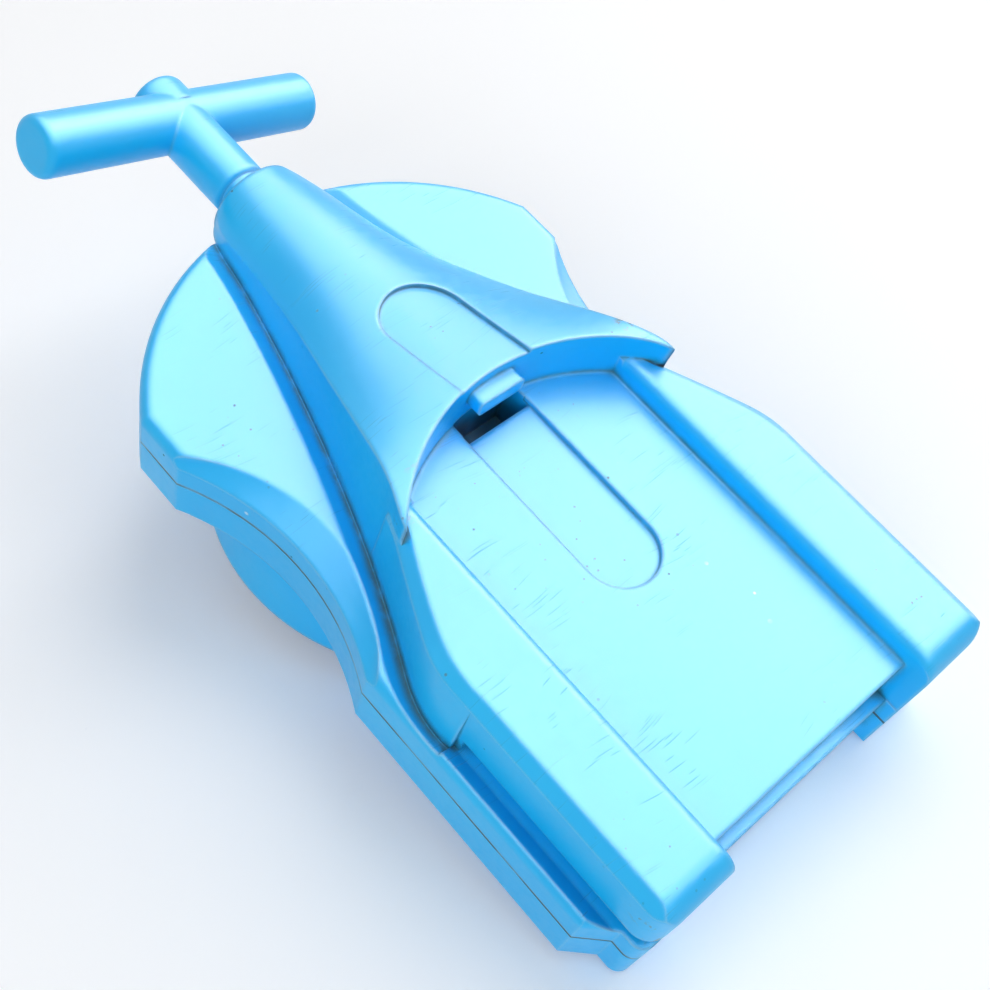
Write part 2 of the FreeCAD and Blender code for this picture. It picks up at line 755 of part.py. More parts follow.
def rail_hollows():
    """The open spaces under the channel and the rails, clear of the screw bosses."""
    end = -(S["tail_reach"] - S["rail_end_round"] - S["rail_end_round"])
    low = SEAT - S["overrun"]
    ceiling = RAIL_TOP - S["channel_floor"]
    spaces = [centred_box("channel_underside", S["channel_half"] - S["lip_wall"], end,
                          -S["lip_centre_back"] * UNDERSIDE_FRONT_SHARE, low, CHANNEL - S["channel_floor"])]
    inner = S["channel_half"] + S["lip_wall"]
    outer = S["rail_half_width"] - S["lip_wall"]
    for name, low_x, high_x in (("left", -outer, -inner), ("right", inner, outer)):
        spaces.append(box(f"rail_underside_{name}", (low_x, end, low), (high_x, -S["skirt_reach"], ceiling)))
    bosses = posts("rail_boss", RAIL_SCREWS, S["boss_radius"], SEAT, ceiling)
    return cut("under_hollows", joined("under_spaces", spaces), bosses)


def make_grip_rail():
    base = float(SEAT)
    reach = S["tail_reach"]
    front = S["lip_centre_back"] - S["lip_radius"]
    hood = solid_feature("hood_form", spine_loft(0.0, base, 0, len(HOOD_SHARES)))
    # The hood ends at a round lip over the channel, and its wall follows the lip down to the floor.
    hood_cut = cut("hood_cut", hood, [
        lip_barrel("lip_sweep", S["lip_radius"], CHANNEL),
        centred_box("behind_lip", TAIL_HALF, -reach, -(S["lip_centre_back"] - S["lip_radius"] * LIP_TRIM_SHARE),
                    CHANNEL, CHANNEL + S["lip_height"])])
    neck = cylinder("neck_tube", S["neck_radius"], S["neck_length"], ZERO, NECK_INNER, NECK_AXIS, ALONG_Y)
    block = joined("rail_solid", [solid_feature("skirt_form", flank_loft()), rail_block()])
    railed = cut("rails_with_channel", block, channel_space())
    solid = joined("grip_solid", [hood_cut, neck, railed])
    room = solid_feature("hood_room", spine_loft(float(S["lip_wall"]), base - float(S["fit_gap"]), *ROOM_STATIONS))
    wall_line = lip_barrel("lip_wall_line", S["lip_radius"] + S["lip_wall"], SEAT - S["overrun"])
    inside = cut("hood_inside", room, [wall_line])
    window = centred_box("catch_window", S["window_half"], -S["window_back"],
                         S["lip_wall"] * WINDOW_REACH_SHARE - front,
                         SEAT - S["overrun"], CHANNEL + S["catch_lift"] * WINDOW_TOP_SHARE)
    recess_low = CHANNEL - S["recess_depth"]
    recess_end = cylinder("recess_end", S["recess_half"], S["recess_depth"] + S["overrun"],
                          ZERO, -S["recess_centre_back"], recess_low)
    recess = centred_box("recess_run", S["recess_half"], -S["recess_centre_back"], -S["window_back"] + S["overrun"],
                         recess_low, CHANNEL + S["overrun"])
    grip = S["screw_radius"] + S["fit_gap"]
    bores = posts("rail_screw_bore", RAIL_SCREWS, grip, SEAT - S["overrun"], SEAT + S["screw_grip"])
    neck_bore = cylinder("neck_bore", S["neck_bore"], S["neck_length"] + S["overrun"] + S["overrun"],
                         ZERO, NECK_INNER - S["overrun"], NECK_AXIS, ALONG_Y)
    tools = [inside, rail_hollows(), window, recess_end, recess, neck_bore, hood_panel(hood)] + bores
    opened = cut("grip_opened", solid, tools)
    low = SEAT + S["catch_lift"]
    high = low + S["catch_height"]
    half, soft = S["catch_half"], S["catch_round"]
    catch = padded_back("catch_bar", [
        (half - soft, low), (half, low + soft, soft, 1), (half, high - soft), (half - soft, high, soft, 1),
        (-(half - soft), high), (-half, high - soft, soft, 1), (-half, low + soft), (-(half - soft), low, soft, 1)],
        front - S["lip_wall"], S["catch_back"])
    return joined("grip_rail", [opened, catch])


# String path

def make_neck_bush():
    inner_end = BUSH_INNER
    outer_end = inner_end + S["bush_length"]
    outer = S["neck_bore"] - S["fit_gap"]
    bore = S["bush_bore"]
    lead = S["string_radius"]
    bush = turned("neck_bush", [
        (outer, inner_end), (outer, outer_end), (bore + lead, outer_end), (bore, outer_end - lead),
        (bore, inner_end + lead), (bore + lead, inner_end)], "XY_Plane", "V_Axis")
    return place(bush, z=NECK_AXIS)


def rounded_path(points):
    """Straight runs joined by tangent arcs, each as large as its two runs allow."""
    edges = []
    start = points[0]
    for before, corner, after in zip(points, points[1:], points[2:]):
        arriving = (corner - before).normalize()
        leaving = (after - corner).normalize()
        reach = min((corner - before).Length, (after - corner).Length) * BEND_REACH_SHARE
        begin = corner - arriving * reach
        finish = corner + leaving * reach
        turn = arriving.getAngle(leaving)
        radius = reach / math.tan(turn / 2)
        print("string bend radius", round(radius, 2))
        inward = (leaving - arriving).normalize()
        middle = corner + inward * (radius / math.cos(turn / 2) - radius)
        edges.append(Part.LineSegment(start, begin).toShape())
        edges.append(Part.Arc(begin, middle, finish).toShape())
        start = finish
    edges.append(Part.LineSegment(start, points[-1]).toShape())
    return Part.Wire(edges)


def make_pull_string():
    """From where it leaves the reel, over the bush's lower edge and into the handle's stem."""
    wound = float(S["winding_radius"])
    radius = float(S["string_radius"])
    bush_y = float(BUSH_INNER)
    lean = math.acos(wound / bush_y)
    level = float(REEL_FLOOR) + float(S["reel_room"]) * STRING_LEVEL_SHARE
    ride = float(NECK_AXIS) - float(S["bush_bore"]) + radius + float(S["fit_gap"]) * 2
    tangent = FreeCAD.Vector(wound * math.sin(lean), wound * math.cos(lean), level)
    over_bush = FreeCAD.Vector(0, bush_y - radius, ride)
    # The run starts where the string is clear of the turns that are still wound.
    clear_of_turns = wound + radius * 2 + float(S["running_gap"])
    start = tangent + (over_bush - tangent).normalize() * math.sqrt(clear_of_turns ** 2 - wound ** 2)
    in_stem = FreeCAD.Vector(0, float(FUNNEL_END), float(NECK_AXIS))
    end = FreeCAD.Vector(0, float(KNOT_START), float(NECK_AXIS))
    path = rounded_path([start, over_bush, in_stem, end])
    first = path.Edges[0]
    across = first.tangentAt(first.FirstParameter)
    circle = Part.Wire([Part.makeCircle(radius, start, across)])
    tube = path.makePipeShell([circle], True, False)
    expected = math.pi * radius ** 2 * path.Length
    print("string length", round(path.Length, 2), "volume share", round(tube.Volume / expected, 4))
    return solid_feature("pull_string", tube)


# Reel

def make_string_winding():
    """The wound string: one scallop for each turn that shows on the outer layer."""
    inner = S["winding_radius"] - S["winding_depth"] + S["fit_gap"]
    outer = S["winding_radius"]
    low = REEL_FLOOR + S["fit_gap"]
    turns = int(float(S["reel_room"]) / (2 * float(S["string_radius"])))
    pitch = (S["reel_room"] - S["fit_gap"] - S["fit_gap"]) * (1 / turns)
    groove = outer - S["string_radius"]
    corners = [(inner, low + pitch * turns), (inner, low), (groove, low)]
    for turn in range(turns):
        corners += [(outer, low + pitch * (turn + share)) for share in TURN_FLAT_SHARES]
        corners.append((groove, low + pitch * (turn + 1)))
    return turned("string_winding", corners)


def make_string_spool():
    core_outer = S["winding_radius"] - S["winding_depth"]
    core_inner = core_outer - S["reel_core_wall"]
    eye = S["arbor_radius"] + S["running_gap"]
    return turned("string_spool", [
        (core_inner, REEL_FLOOR + S["fit_gap"]), (core_outer, REEL_FLOOR + S["fit_gap"]), (core_outer, REEL_LID),
        (S["reel_radius"], REEL_LID), (S["reel_radius"], REEL_TOP), (eye, REEL_TOP), (eye, REEL_LID),
        (core_inner, REEL_LID)])


def make_spring_cup():
    outer = S["winding_radius"] - S["winding_depth"] - S["reel_core_wall"] - S["fit_gap"]
    inner = outer - S["cup_wall"]
    eye = S["axle_radius"] + S["fit_gap"]
    cup = turned("cup_shell", [
        (eye, REEL_LOW), (S["reel_radius"], REEL_LOW), (S["reel_radius"], REEL_FLOOR), (outer, REEL_FLOOR),
        (outer, REEL_LID - S["fit_gap"]), (inner, REEL_LID - S["fit_gap"]), (inner, REEL_FLOOR), (eye, REEL_FLOOR)])
    pins = []
    for name, side in (("left", -1), ("right", 1)):
        pins.append(cylinder(f"pawl_pin_{name}", S["pawl_pin"], REEL_FLOOR - RING_INNER - S["running_gap"],
                             S["pawl_ring"] * side, ZERO, RING_INNER + S["running_gap"]))
    return joined("spring_cup", [cup] + pins)


def make_mainspring():
    """A flat strip wound in half circles whose centre moves half a pitch each time."""
    half = float(S["spring_strip"]) / 2
    step = float(S["spring_pitch"]) / 2
    low = float(REEL_FLOOR) + float(S["fit_gap"])
    outer_limit = float(S["winding_radius"]) - float(S["winding_depth"])
    outer_limit -= float(S["reel_core_wall"]) + float(S["fit_gap"]) + float(S["cup_wall"])
    start = outer_limit - half - float(S["fit_gap"]) - step * SPRING_HALF_TURNS
    rows = []
    for turn in range(SPRING_HALF_TURNS):
        centre = 0.0 if turn % 2 == 0 else step
        rows.append((centre, start + step * (turn + 1)))

    def strip_edge(offset, centre, radius, upper):
        side = 1 if upper else -1
        reach = radius + offset
        first = FreeCAD.Vector(centre + side * reach, 0, low)
        top = FreeCAD.Vector(centre, side * reach, low)
        last = FreeCAD.Vector(centre - side * reach, 0, low)
        return first, top, last

    outer_edges = []
    inner_edges = []
    for turn, (centre, radius) in enumerate(rows):
        upper = turn % 2 == 0
        outer_edges.append(Part.Arc(*strip_edge(half, centre, radius, upper)).toShape())
        inner_edges.append(Part.Arc(*strip_edge(-half, centre, radius, upper)).toShape())
    first_cap = Part.makeLine(inner_edges[0].Vertexes[0].Point, outer_edges[0].Vertexes[0].Point)
    last_cap = Part.makeLine(outer_edges[-1].Vertexes[-1].Point, inner_edges[-1].Vertexes[-1].Point)
    wire = Part.Wire(Part.__sortEdges__(outer_edges + [last_cap] + inner_edges + [first_cap]))
    height = float(S["reel_room"]) - 4 * float(S["fit_gap"])
    return solid_feature("mainspring", Part.Face(wire).extrude(FreeCAD.Vector(0, 0, height)))


def make_spring_arbor():
    bore = S["axle_radius"] + S["fit_gap"]
    return turned("spring_arbor", tube_profile(bore, S["arbor_radius"], REEL_FLOOR + S["running_gap"], CEILING))


# Ratchet, pawls and launch fork

def tooth_polygon(level):
    """The toothed bore of the ratchet ring: each tooth has a steep face and a long back."""
    count = int(float(S["tooth_count"]))
    root = float(S["ratchet_radius"]) - float(S["ratchet_wall"])
    tip = root - float(S["tooth_depth"])
    points = []
    for tooth in range(count):
        turn = 2 * math.pi * tooth / count
        points.append(around(root, turn, level))
        points.append(around(tip, turn, level))
    return Part.makePolygon(points + points[:1])


def around(radius, turn, level):
    """A point at a radius and a turn about the spinning axis."""
    return FreeCAD.Vector(radius * math.cos(turn), radius * math.sin(turn), level)


def key_cylinder(name, radius, flat, low, high):
    """A shaft end with two flats."""
    round_end = cylinder(f"{name}_round", radius, high - low, z=low)
    flats = box(f"{name}_flats", (-radius, -flat, low), (radius, flat, high))
    return overlap(name, [round_end, flats])


def make_ratchet_ring():
    disc = cylinder("ring_disc", S["ratchet_radius"], RING_TOP - RING_LOW, z=RING_LOW)
    height = float(S["tooth_height"]) + float(S["overrun"])
    teeth = Part.Face(tooth_polygon(float(RING_INNER))).extrude(FreeCAD.Vector(0, 0, height))
    bored = solid_feature("tooth_space", teeth)
    key = key_cylinder("ring_key", S["hub_radius"] + S["fit_gap"], S["hub_key_flat"] + S["fit_gap"],
                       RING_LOW - S["overrun"], RING_TOP)
    return cut("ratchet_ring", disc, [bored, key])


def make_drive_pawl(name, side):
    """A one-way pawl: an eye on the reel's pin and an arm whose end stands at a steep tooth face."""
    count = int(float(S["tooth_count"]))
    gap = float(S["running_gap"])
    root = float(S["ratchet_radius"]) - float(S["ratchet_wall"])
    low = float(RING_INNER) + gap / 2
    eye = float(S["pawl_eye"])
    # The end stands far enough before the second tooth's steep face to swing inwards past it.
    reach = root - float(S["pawl_room"])
    end_turn = 2 * math.pi * 2 / count - float(S["pawl_lead"]) / reach
    outer_end = around(reach, end_turn, low)
    inner_end = around(reach - float(S["pawl_width"]), end_turn, low)
    pivot = FreeCAD.Vector(float(S["pawl_ring"]), 0, low)
    along = (outer_end - pivot).normalize()
    across = FreeCAD.Vector(-along.y, along.x, 0) * (eye * PAWL_ARM_SHARE)
    arm = Part.makePolygon([pivot - across, outer_end, inner_end, pivot + across, pivot - across])
    height = float(S["pawl_height"])
    arm_solid = Part.Face(arm).extrude(FreeCAD.Vector(0, 0, height))
    bore = Part.makeCylinder(float(S["pawl_pin"]) + float(S["fit_gap"]), height, pivot)
    shape = arm_solid.fuse(Part.makeCylinder(eye, height, pivot)).cut(bore).removeSplitter()
    made = solid_feature(name, shape)
    if side < 0:
        made.Placement = FreeCAD.Placement(FreeCAD.Vector(), FreeCAD.Rotation(FreeCAD.Vector(0, 0, 1), 180))
    return made


def make_launch_fork():
    plate_low = S["fork_plate_lift"]
    plate_high = plate_low + S["fork_plate"]
    bore = S["axle_radius"] + S["fit_gap"]
    sink = S["washer_radius"] + S["running_gap"]
    shaft = turned("fork_shaft", [
        (sink, plate_low), (S["fork_plate_radius"], plate_low), (S["fork_plate_radius"], plate_high),
        (S["hub_radius"], plate_high), (S["hub_radius"], RING_LOW - S["fit_gap"]), (bore, RING_LOW - S["fit_gap"]),
        (bore, S["axle_end_lift"] + S["running_gap"]), (sink, S["axle_end_lift"] + S["running_gap"])])
    key = key_cylinder("fork_key", S["hub_radius"], S["hub_key_flat"], RING_LOW - S["overrun"], RING_INNER)
    key_bored = cut("fork_key_bored", key, [cylinder("fork_key_bore", bore, LOW, z=RING_LOW - S["overrun"] * 2)])
    parts = [shaft, key_bored]
    outer = S["prong_outer"]
    half = S["prong_width"] * 0.5
    foot = -S["prong_drop"]
    for name, side in (("left", -1), ("right", 1)):
        inner = outer - S["prong_wall"]
        low_x, high_x = (inner, outer) if side > 0 else (-outer, -inner)
        parts.append(box(f"prong_{name}", (low_x, -half, foot), (high_x, half, plate_low + S["overrun"])))
        # Each hook points round the axis, so that the top turns into it.
        low_y, high_y = (half, half + S["prong_hook"]) if side > 0 else (-half - S["prong_hook"], -half)
        parts.append(box(f"prong_hook_{name}", (low_x, low_y, foot), (high_x, high_y, foot + S["prong_hook_height"])))
    return joined("launch_fork", parts)


def make_hub_washer():
    top = S["axle_end_lift"]
    return turned("hub_washer", tube_profile(S["axle_thread_radius"] + S["fit_gap"], S["washer_radius"],
                                             top - S["washer_height"], top))


def make_axle():
    thread = cylinder("axle_thread", S["axle_thread_radius"] + S["fit_gap"], S["axle_thread_depth"],
                      z=S["axle_end_lift"])
    top = SEAT + S["axle_boss_height"] - S["shell_floor"]
    pin = cylinder("axle_pin", S["axle_radius"], top - S["axle_end_lift"], z=S["axle_end_lift"])
    return cut("axle", pin, [thread])


def screw_shape(length, shank, head, head_height, slot, points_up):
    """A pan-head screw along Z whose head's seat is at zero."""
    body = Part.makeCylinder(shank, length)
    body = body.fuse(Part.makeCylinder(head, head_height, FreeCAD.Vector(0, 0, -head_height)))
    for turn in (0, 90):
        long = head * HEAD_SLOT_SHARE
        bar = Part.makeBox(long, slot, head_height / 2, FreeCAD.Vector(-long / 2, -slot / 2, -head_height))
        bar.rotate(FreeCAD.Vector(), FreeCAD.Vector(0, 0, 1), turn)
        body = body.cut(bar)
    if not points_up:
        body.rotate(FreeCAD.Vector(), FreeCAD.Vector(1, 0, 0), 180)
    return body.removeSplitter()


def make_screws(name, places, seat, length):
    """A group of like self-tapping screws that stand upright with their heads below."""
    shape = screw_shape(float(length), float(S["screw_radius"]), float(S["screw_head_radius"]),
                        float(S["screw_head_height"]), float(S["screw_slot"]), True)
    copies = []
    for x, y in places:
        copy = shape.copy()
        copy.translate(FreeCAD.Vector(float(x), float(y), float(seat)))
        copies.append(copy)
    return solid_feature(name, Part.makeCompound(copies))


def make_hub_screw():
    seat = S["axle_end_lift"] - S["washer_height"]
    length = S["axle_thread_depth"] + S["washer_height"] - S["running_gap"]
    shape = screw_shape(float(length), float(S["axle_thread_radius"]), float(S["screw_head_radius"]),
                        float(S["screw_head_height"]), float(S["screw_slot"]), True)
    shape.translate(FreeCAD.Vector(0, 0, float(seat)))
    return solid_feature("hub_screw", shape)


# Pull handle

HANDLE_TURN = FreeCAD.Rotation(FreeCAD.Vector(0, 1, 0), HANDLE_TWIST_DEG)


def on_handle_axis(thing):
    """Turns a piece about the string and lifts it to the neck's axis."""
    thing.Placement = FreeCAD.Placement(FreeCAD.Vector(0, 0, float(NECK_AXIS)), HANDLE_TURN)
    bind(thing, "Placement.Base.z", NECK_AXIS)
    return thing


def make_pull_handle():
    nose_end = BUSH_INNER + S["bush_length"] + S["running_gap"]
    nose = S["nose_radius"]
    soft = S["nose_round"]
    stem = S["stem_radius"]
    shoulder = stem - nose
    boss = S["boss_end_radius"]
    hole = S["string_hole"]
    pocket = S["cap_radius"] + S["fit_gap"]
    pocket_end = KNOT_START - S["fit_gap"]
    end = BOSS_END
    edge = S["bar_edge"]
    spine = turned("handle_stem", [
        (hole, FUNNEL_END), (S["funnel_radius"], nose_end), (nose - soft, nose_end), (nose, nose_end + soft, soft, 1),
        (nose, STEM_START), (stem, STEM_START + shoulder, shoulder, 1), (stem, BAR_REACH), (boss, BAR_REACH),
        (boss, end - edge), (boss - edge, end, edge, 1), (pocket, end), (pocket, pocket_end), (hole, pocket_end)],
        "XY_Plane", "V_Axis")
    bar_end = S["bar_half_length"]
    radius = S["bar_radius"]
    bar = turned("handle_bar", [
        (-bar_end, ZERO), (bar_end, ZERO), (bar_end, radius - edge), (bar_end - edge, radius, edge, 1),
        (-(bar_end - edge), radius), (-bar_end, radius - edge, edge, 1)], "XY_Plane", "H_Axis")
    place(bar, y=BAR_REACH)
    well = cylinder("knot_well", pocket, end - pocket_end, ZERO, pocket_end, ZERO, ALONG_Y)
    bar_open = cut("handle_bar_open", bar, [well])
    return on_handle_axis(joined("pull_handle", [spine, bar_open]))


def make_handle_cap():
    rim = S["cap_rim"]
    end = BOSS_END
    cap = turned("handle_cap", [
        (ZERO, CAP_START), (S["cap_radius"], CAP_START), (S["cap_radius"], end),
        (S["cap_radius"] - rim, end + rim), (ZERO, end + rim)], "XY_Plane", "V_Axis")
    return on_handle_axis(cap)


def make_string_knot():
    knot_end = KNOT_START + S["knot_length"]
    soft = S["string_radius"]
    knot = turned("string_knot", [
        (ZERO, KNOT_START + S["fit_gap"]), (S["knot_radius"] - soft, KNOT_START + S["fit_gap"]),
        (S["knot_radius"], KNOT_START + soft), (S["knot_radius"], knot_end - soft), (S["knot_radius"] - soft, knot_end),
        (ZERO, knot_end)], "XY_Plane", "V_Axis")
    return place(knot, z=NECK_AXIS)


def make_parts():
    collar_seat = LOW - S["collar_ear_height"]
    thread = S["screw_grip"] * SCREW_THREAD_SHARE
    return [
        make_upper_casing(),
        make_lower_casing(),
        make_launch_collar(),
        make_grip_rail(),
        make_neck_bush(),
        make_pull_string(),
        make_string_winding(),
        make_string_spool(),
        make_spring_cup(),
        make_mainspring(),
        make_spring_arbor(),
        make_drive_pawl("drive_pawl_right", 1),
        make_drive_pawl("drive_pawl_left", -1),
        make_ratchet_ring(),
        make_launch_fork(),
        make_hub_washer(),
        make_hub_screw(),
        make_axle(),
        make_screws("casing_screws", CASING_SCREWS, LOW + S["screw_head_height"],
                    S["lower_height"] - S["screw_head_height"] + thread),
        make_screws("rail_screws", RAIL_SCREWS, CEILING, S["seat_floor"] + thread),
        make_screws("collar_screws", COLLAR_SCREWS, collar_seat, S["collar_ear_height"] + thread),
        make_pull_handle(),
        make_handle_cap(),
        make_string_knot(),
    ]


def check_and_export(parts):
    DOC.recompute()
    failed = [thing.Label for thing in DOC.Objects if {"Invalid", "Error"} & set(thing.State)]
    if failed:
        raise RuntimeError(f"These failed to recompute: {failed}")
    os.makedirs("parts", exist_ok=True)
    for part in parts:
        shape = part.Shape
        if shape.isNull() or not shape.isValid():
            raise RuntimeError(f"{part.Label} has no valid shape")
        part.Label = part.Name
        print(part.Label, "solids", len(shape.Solids), "volume", round(shape.Volume, 1), shape.BoundBox)
        shape.exportStep(f"parts/{part.Label}.step")


check_and_export(make_parts())
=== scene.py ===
import math
import bmesh
import bpy
from mathutils import Matrix, Vector
from mathutils.bvhtree import BVHTree
from mathutils.interpolate import poly_3d_calc


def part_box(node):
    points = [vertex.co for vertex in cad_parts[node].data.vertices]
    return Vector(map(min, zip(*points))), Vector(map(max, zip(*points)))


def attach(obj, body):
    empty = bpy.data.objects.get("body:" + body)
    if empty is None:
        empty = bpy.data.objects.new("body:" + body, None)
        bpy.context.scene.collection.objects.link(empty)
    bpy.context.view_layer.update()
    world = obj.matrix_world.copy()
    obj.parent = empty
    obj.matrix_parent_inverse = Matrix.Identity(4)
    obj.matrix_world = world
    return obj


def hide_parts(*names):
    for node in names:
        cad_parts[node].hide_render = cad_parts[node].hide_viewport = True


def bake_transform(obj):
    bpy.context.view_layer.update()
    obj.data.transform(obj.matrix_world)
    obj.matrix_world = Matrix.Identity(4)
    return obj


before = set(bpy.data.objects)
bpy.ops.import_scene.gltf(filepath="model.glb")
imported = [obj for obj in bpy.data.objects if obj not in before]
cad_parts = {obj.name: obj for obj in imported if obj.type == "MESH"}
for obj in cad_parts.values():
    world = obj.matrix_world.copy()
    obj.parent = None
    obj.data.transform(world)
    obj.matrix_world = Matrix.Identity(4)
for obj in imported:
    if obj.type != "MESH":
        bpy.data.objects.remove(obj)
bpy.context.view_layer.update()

MM = 0.001


# Looks of the moulded plastic. A pair in brackets is where a ramp starts and where it is full.

PLASTIC_IOR = 1.5
LOOK_SAMPLES = 6
DRIFT_SCALE = 55.0
DRIFT_REACH = 5.0 * MM
MOTTLE_SCALE = 45.0
MOTTLE = (0.35, 0.70)
GRAIN_SCALE = 900.0
GRAIN_ROUGHNESS = 0.10
GRAIN_HEIGHT = 0.12
RELIEF = 0.03 * MM
RELIEF_STRENGTH = 0.25

# Painted highlight: a lighter colour painted along the rounded edges, where they would catch the light
EDGE_ROLL = 0.9 * MM
EDGE_BEND = (0.965, 0.80)
EDGE_HIGHLIGHT_STRENGTH = 0.55
EDGE_HIGHLIGHT_COLOUR = (0.45, 0.76, 0.95)

CORNER_REACH = 2.2 * MM
OPEN_SIDE = (0.62, 0.85)
# Painted shade: corners and creases darkened by how little open space the occlusion finds round them
SHADED_CORNER = (0.75, 0.25)
SHADE_STRENGTH = 0.45
SHADE_COLOUR = (0.002, 0.19, 0.36)
# Grime in the same corners, partly dirt and partly painted shade, broken into patches
DIRTY_SHADED_CORNER = (0.62, 0.38)
DIRT_AND_SHADE_PATCHES = (0.20, 0.55)
GRIME_AND_SHADE_STRENGTH = 0.85
GRIME_AND_SHADE_COLOUR = (0.020, 0.085, 0.070)
# Neither the painted shade nor the grime is painted below this height
NO_DIRT_OR_SHADE_BELOW = 11.0 * MM
NO_DIRT_OR_SHADE_FADE = 2.0 * MM

# Scratches: angle, length, width, the share of the cells that hold one, and a shift of the pattern
SCRATCH_KINDS = (
    (0.5, 9.0 * MM, 0.30 * MM, 0.09, 0.0),
    (-0.9, 11.0 * MM, 0.26 * MM, 0.09, 0.3),
    (2.6, 14.0 * MM, 0.24 * MM, 0.08, 0.7),
    (-0.2, 4.0 * MM, 0.34 * MM, 0.05, 1.3),
)
FACES_UP = (0.55, 0.85)
SCRATCHED_PATCHES = (0.40, 0.58)
SCRATCH_STRENGTH = 0.35
SCRATCH_SHARE_OF_COLOUR = 0.45
SCRATCH_DEPTH = 0.8
SPECK_PATCHES = (0.42, 0.60)
SPECK_STRENGTH = 0.85
SPECK_COLOUR = (0.02, 0.10, 0.12)
WORN_ROUGHNESS = 0.5

PARTING_HEIGHT = 15.8 * MM
PARTING_LINE = (0.28 * MM, 0.12 * MM)
SEAM_COLOUR = (0.010, 0.060, 0.075)

# Dirt, marks and painted shade on the casing: colour, strength, specks to the metre (or a smear, or an
# even patch), and each place with its reach, in millimetres
SMEAR = 0.0
EVEN = -1.0
CASING_MARKS_AND_SHADE = (
    # Painted shade: an even dark patch in the window under the hood's lip
    ((0.00, 0.045, 0.075), 0.85, EVEN, (
        ((-3.0, -7.5, 21.0), 7.2), ((3.0, -7.5, 21.0), 7.2))),
    ((0.13, 0.10, 0.03), 0.85, SMEAR, (
        ((-19.0, -13.5, 32.5), 2.4), ((-20.5, -15.0, 31.5), 2.2), ((-17.0, -11.0, 33.5), 1.8),
        ((-28.0, -64.0, 27.0), 2.6), ((-27.0, -66.0, 22.0), 3.0), ((19.5, -10.0, 34.5), 2.0))),
    ((0.003, 0.10, 0.13), 0.9, 1300.0, (
        ((0.0, -14.0, 27.6), 6.0), ((10.0, -12.0, 27.6), 6.0), ((-10.0, -14.0, 27.6), 6.0))),
    ((0.003, 0.10, 0.13), 0.8, 800.0, (
        ((0.0, -30.0, 27.6), 16.0), ((-24.0, 8.0, 21.2), 9.0), ((23.0, -58.0, 30.7), 8.0),
        ((-24.0, -60.0, 30.0), 8.0), ((0.0, 6.0, 33.0), 10.0))),
    ((0.80, 0.90, 0.94), 0.7, 420.0, (
        ((-31.0, 2.0, 19.0), 6.0), ((8.0, -44.0, 27.6), 6.0))),
)


# Materials

